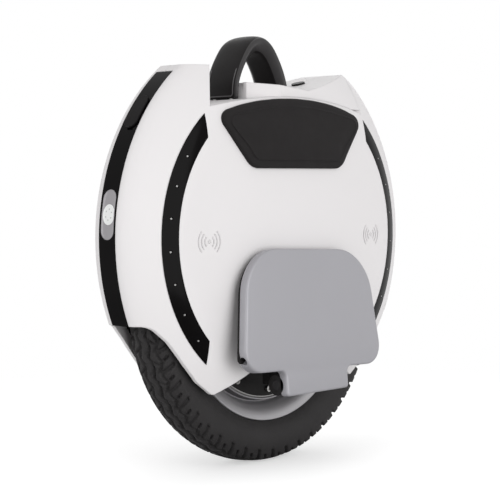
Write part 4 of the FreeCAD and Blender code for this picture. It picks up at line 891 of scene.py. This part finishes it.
plate = slab(PEDAL_CORNERS, PEDAL_ROUNDS, PLATE_BACK, PLATE_FACE, PLATE_BACK_RIM, PLATE_FACE_RIM)
room_start = PIVOT - Vector((KNUCKLE_FROM * MM, 0, 0))
plate = cut_by(plate, rod(room_start, Vector((1, 0, 0)), HANGER_ROOM_R, 2 * KNUCKLE_FROM))
heel = slab(HEEL_CORNERS, [26, 26, 0, 0], HEEL_BACK, HEEL_FACE, PLATE_BACK_RIM, 0)
bmesh.ops.bisect_plane(heel, geom=list(heel.verts) + list(heel.edges) + list(heel.faces),
                       plane_co=(0, 0, HEEL_TOP * MM), plane_no=(0, 0, 1), clear_outer=True)
bmesh.ops.holes_fill(heel, edges=heel.edges, sides=0)
way = Vector((math.cos(RECESS_SLOPE), 0, -math.sin(RECESS_SLOPE)))
recess = rod(RECESS_MIDDLE + way * RECESS_FROM * MM, way, RECESS_R, RECESS_LONG)
plate = cut_by(plate, recess.copy())
heel = cut_by(heel, recess)
pedal = merged(plate, heel)
bushes = merged(tube(KNUCKLE_FROM, KNUCKLE_TO, KNUCKLE_BORE, KNUCKLE_R, KNUCKLE_SOFT),
                tube(-KNUCKLE_TO, -KNUCKLE_FROM, KNUCKLE_BORE, KNUCKLE_R, KNUCKLE_SOFT))
for mesh in (pedal, bushes):
    bmesh.ops.rotate(mesh, cent=PIVOT, matrix=LEAN, verts=mesh.verts)
both_sides("pedal_plate_{}", pedal, FINISHES["pedal_metal"], "pedal_{}", "pedal_metal", "pedal_{}")
both_sides("knuckles_{}", bushes, FINISHES["hanger_metal"], "pedal_{}", "hanger_metal")


# %% [markdown]
# The grip mat lies on the standing face of the pedal. It is a thin moulded sheet with a border and rows
# of low studs, so that a shoe doesn't slip. One stud is a short cone with few sides, and it is copied
# over the sheet wherever it fits inside the border.

# %% Pedal mats
MAT_BACK = 72.9
MAT_FACE = 75.98
MAT_RIM = 0.6
MAT_CORNERS = [(-109.2, 119), (110.2, 119), (95.4, 233), (-95.4, 225)]
STUD_ROWS = 13
STUD_COLUMNS = 28
STUD_FIRST = (-101.25, 126.0)
STUD_STEP = (7.5, 8.0)
STUD_Y = 72.7
STUD_BORDER = 5
FIELD_LOW = 119
FIELD_HALF = 107
FIELD_TAPER = 0.126
FIELD_HIGH = 231
FIELD_TILT = 0.04
FIELD_ROUND = 43
ROUND_BORDER = 6


def stud_fits(x, z):
    """Whether a stud at a place lies inside the border of the mat and its rounded upper corners."""
    high = FIELD_HIGH + FIELD_TILT * x - z
    wide = FIELD_HALF - FIELD_TAPER * (z - FIELD_LOW)
    corner = math.hypot(max(0, abs(x) - wide + FIELD_ROUND), max(0, FIELD_ROUND - high))
    return abs(x) < wide - STUD_BORDER and high > STUD_BORDER and corner < FIELD_ROUND - ROUND_BORDER


mat = slab(MAT_CORNERS, [6, 6, 44, 44], MAT_BACK, MAT_FACE, MAT_RIM, 0)
upright = Matrix.Rotation(math.radians(90), 4, "X")
studs = 0
for row in range(STUD_ROWS):
    for column in range(STUD_COLUMNS):
        x = STUD_FIRST[0] + STUD_STEP[0] * (column + (0.5 if row % 2 else 0))
        z = STUD_FIRST[1] + STUD_STEP[1] * row
        if stud_fits(x, z):
            spot = Matrix.Translation((x * MM, STUD_Y * MM, z * MM))
            bmesh.ops.create_cone(mat, cap_ends=True, segments=8, radius1=2.3 * MM, radius2=1.7 * MM,
                                  depth=0.4 * MM, matrix=spot @ upright)
            studs += 1
bmesh.ops.rotate(mat, cent=PIVOT, matrix=LEAN, verts=mat.verts)
both_sides("grip_mat_{}", mat, FINISHES["mat_rubber"], "pedal_{}", "mat_rubber", "pedal_mat_{}")
print(studs, "studs on each mat")


# %% [markdown]
# The headlight is an oval window flush with the black bar, and the rear end has the same window in red.
# Both are made flat and then bent round the hull, since the bar is part of a circle about the hull's
# centre. A form that is bent afterwards can be drawn with straight sides, which is the easier way.

# %% Headlight and tail light windows
HULL_Z = 246.0
HULL_R = 221.0
LENS_ANGLE = math.asin(0.12)
WINDOW_LONG = 50.6
WINDOW_WIDE = 18.6
NEARLY_HALF = 0.9999


def onto_bar(mesh, end):
    """Bend a flat form, with its length on Z and its height on Y, round the front or rear bar."""
    for vert in mesh.verts:
        along, aside, height = vert.co.z / MM, vert.co.x / MM, vert.co.y / MM
        swing = LENS_ANGLE + along / HULL_R
        out = HULL_R + height
        vert.co = Vector((end * out * math.cos(swing), aside, HULL_Z + out * math.sin(swing))) * MM
    bmesh.ops.recalc_face_normals(mesh, faces=mesh.faces)
    return mesh


def oval(length, width, steps, shares):
    """A stadium built up in rings, lengthwise on Z."""
    half = width / 2
    mesh = flat_face([(-half, -length / 2), (half, -length / 2), (half, length / 2), (-half, length / 2)],
                     [half * NEARLY_HALF] * 4, segments=10)
    bmesh.ops.remove_doubles(mesh, verts=mesh.verts, dist=2 * MERGE)
    split_long(mesh, 3)
    turn = Matrix.Rotation(math.radians(90), 3, "Y")
    bmesh.ops.rotate(mesh, cent=(0, 0, 0), matrix=turn, verts=mesh.verts)
    ringed(mesh, length / 2 - half, 0, steps, shares)
    bmesh.ops.rotate(mesh, cent=(0, 0, 0), matrix=turn.transposed(), verts=mesh.verts)
    return mesh


window_steps = [(0, -2.6), (0, -0.5), (0.35, -0.06), (0.5, -0.02), (0.5, -0.25), (0.5, -0.5)]
window_shares = [(0.7, -0.5), (0.35, -0.5), (0, -0.5)]
for name, end, slot, node in (("headlight_window", 1, "lens_clear", "headlight_lens"),
                              ("tail_light_window", -1, "lens_red", "tail_light_lens")):
    window = onto_bar(oval(WINDOW_LONG, WINDOW_WIDE, window_steps, window_shares), end)
    piece(name, window, FINISHES[slot], "chassis", slot, node, sharp=40)


# %% [markdown]
# Behind each window sits one optic with a raised ring. It is a turned form, stretched a little along the
# bar. The headlight's has six small LED chips in a ring, which are low cones.

# %% Optics and LED chips
OPTIC_STRETCH = (0.98, 1, 1.2)
OPTIC_ASIDE = 0.7
CHIPS = 6
CHIP_FIRST = 25
CHIP_RING = (4.3, 5.4)
CHIP_SUNK = 0.22


def optic(end):
    """One round optic: a raised ring, a step and a low dome, turned about its own middle."""
    mesh = bmesh.new()
    profile = [(8.6, -0.49), (8.6, -0.2), (8.2, -0.08), (7.3, -0.1), (6.9, -0.34), (6.2, -0.3), (4.4, -0.16),
               (2.2, -0.08), (0, -0.06)]
    row = [mesh.verts.new((radius * MM, height * MM, 0)) for radius, height in profile]
    edges = [mesh.edges.new(pair) for pair in zip(row, row[1:])]
    bmesh.ops.spin(mesh, geom=row + edges, cent=(0, 0, 0), axis=(0, 1, 0), angle=2 * math.pi, steps=64,
                   use_merge=True)
    bmesh.ops.remove_doubles(mesh, verts=mesh.verts, dist=MERGE)
    bmesh.ops.scale(mesh, vec=OPTIC_STRETCH, verts=mesh.verts)
    bmesh.ops.translate(mesh, vec=(OPTIC_ASIDE * MM, 0, 0), verts=mesh.verts)
    return onto_bar(mesh, end)


optic_white = finish_of("white_optic", (0.86, 0.87, 0.86), 0.12, coat=0.5, grain=380, raised=0.25,
                        mottle=0.12, edge=0.0)
piece("headlight_optic", optic(1), optic_white, "chassis", "lamp", sharp=40)
piece("tail_light_optic", optic(-1), FINISHES["lens_red"], "chassis", "lens_red", sharp=40)

chips = bmesh.new()
facing = Matrix.Rotation(math.radians(-90), 4, "X")
for number in range(CHIPS):
    swing = math.radians(360 / CHIPS * number + CHIP_FIRST)
    aside = CHIP_RING[0] * math.cos(swing) + OPTIC_ASIDE
    spot = Matrix.Translation((aside * MM, 0, CHIP_RING[1] * math.sin(swing) * MM))
    bmesh.ops.create_cone(chips, cap_ends=True, segments=10, radius1=1.1 * MM, radius2=0.7 * MM,
                          depth=0.5 * MM, matrix=spot @ facing)
bmesh.ops.translate(chips, vec=(0, -CHIP_SUNK * MM, 0), verts=chips.verts)
led_chip = finish_of("grey_led_chip", (0.5, 0.52, 0.5), 0.3, coat=0.3, raised=0.1, edge=0.0)
piece("headlight_chips", onto_bar(chips, 1), led_chip, "chassis", "lamp")


# %% [markdown]
# Each side light has a row of small round LEDs behind its gloss cover. The cover leaves only the middle of
# each one clear, so every LED is made smaller about the middle of its own outer face, and sits in a dark
# ring. The row starts as a copy of the CAD node, which is merged first, because its triangles are loose.

# %% LEDs of the side lights
LED_SHARE = 0.58
LED_MERGE = 0.002 * MM


def islands(mesh):
    """The separate bodies of a bmesh, each as a list of its faces."""
    found = []
    known = set()
    for first in mesh.faces:
        if first not in known:
            known.add(first)
            body = [first]
            for face in body:
                near = [f for v in face.verts for f in v.link_faces if f not in known]
                body += dict.fromkeys(near)
                known.update(near)
            found.append(body)
    return found


def small_leds(node):
    """A copy of a row of LEDs, each one made smaller about the middle of its outer face."""
    mesh = bmesh.new()
    mesh.from_mesh(nodes[node].data)
    bmesh.ops.remove_doubles(mesh, verts=mesh.verts, dist=LED_MERGE)
    for led in islands(mesh):
        corners = list(dict.fromkeys(v for face in led for v in face.verts))
        middle = sum((v.co for v in corners), Vector()) / len(corners)
        areas = {}
        for face in led:
            if face.normal.y * middle.y > 0:
                way = tuple(round(c, 2) for c in face.normal)
                areas[way] = areas.get(way, 0) + face.calc_area()
        out = Vector(max(areas, key=areas.get))
        outer = middle + out * max((v.co - middle).dot(out) for v in corners)
        bmesh.ops.scale(mesh, vec=[LED_SHARE] * 3, space=Matrix.Translation(-outer), verts=corners)
    return mesh


unlit_led = finish_of("unlit_led", (0.3, 0.295, 0.29), 0.25, coat=0.2, raised=0.05, edge=0.0)
for name in sorted(nodes):
    if name.startswith("side_leds_"):
        row_name = name.replace("side_leds", "led_row")
        piece(row_name, small_leds(name), unlit_led, "chassis", slot_of[name], name)


# %% [markdown]
# On each side of the shell two small marks of sound waves are moulded into the skin, a dot with arcs on
# both sides of it. Each arc is a flat strip that is laid on the shell by the same ray as the pads.

# %% Wave marks
WAVE_X = 131
WAVE_Z = 244
WAVE_DOT = (1.1, 2.0)
WAVE_ARCS = ((6.0, 50), (10.2, 48), (14.4, 46))
WAVE_WIDE = 1.3
WAVE_THICK = 0.35
WAVE_LIFT = 0.1


def arc_strip(mesh, centre, radius, middle_deg, half_deg, width):
    """Add a low strip along part of a circle in the side view."""
    x, z = centre
    start = math.radians(middle_deg - half_deg)
    row = []
    for out in (radius - width / 2, radius + width / 2):
        row.append(mesh.verts.new(((x + out * math.cos(start)) * MM, 0, (z + out * math.sin(start)) * MM)))
    edge = mesh.edges.new(row)
    bmesh.ops.spin(mesh, geom=row + [edge], cent=(x * MM, 0, z * MM), axis=(0, -1, 0),
                   angle=math.radians(2 * half_deg), steps=10)


def wave_mark(x, z):
    """The mark at one place: a dot and three arcs to each side."""
    mesh = bmesh.new()
    arc_strip(mesh, (x, z), WAVE_DOT[0], 0, 180, WAVE_DOT[1])
    for radius, spread in WAVE_ARCS:
        arc_strip(mesh, (x, z), radius, 0, spread, WAVE_WIDE)
        arc_strip(mesh, (x, z), radius, 180, spread, WAVE_WIDE)
    bmesh.ops.remove_doubles(mesh, verts=mesh.verts, dist=MERGE)
    bmesh.ops.solidify(mesh, geom=list(mesh.faces), thickness=WAVE_THICK * MM)
    for vert in mesh.verts:
        vert.co.y += shell_y(vert.co.x, vert.co.z) + WAVE_LIFT * MM
    bmesh.ops.recalc_face_normals(mesh, faces=mesh.faces)
    return mesh


for place, x in (("front", WAVE_X), ("rear", -WAVE_X)):
    both_sides("wave_mark_" + place + "_{}", wave_mark(x, WAVE_Z), FINISHES["shell_white"], "chassis",
               "shell_white")
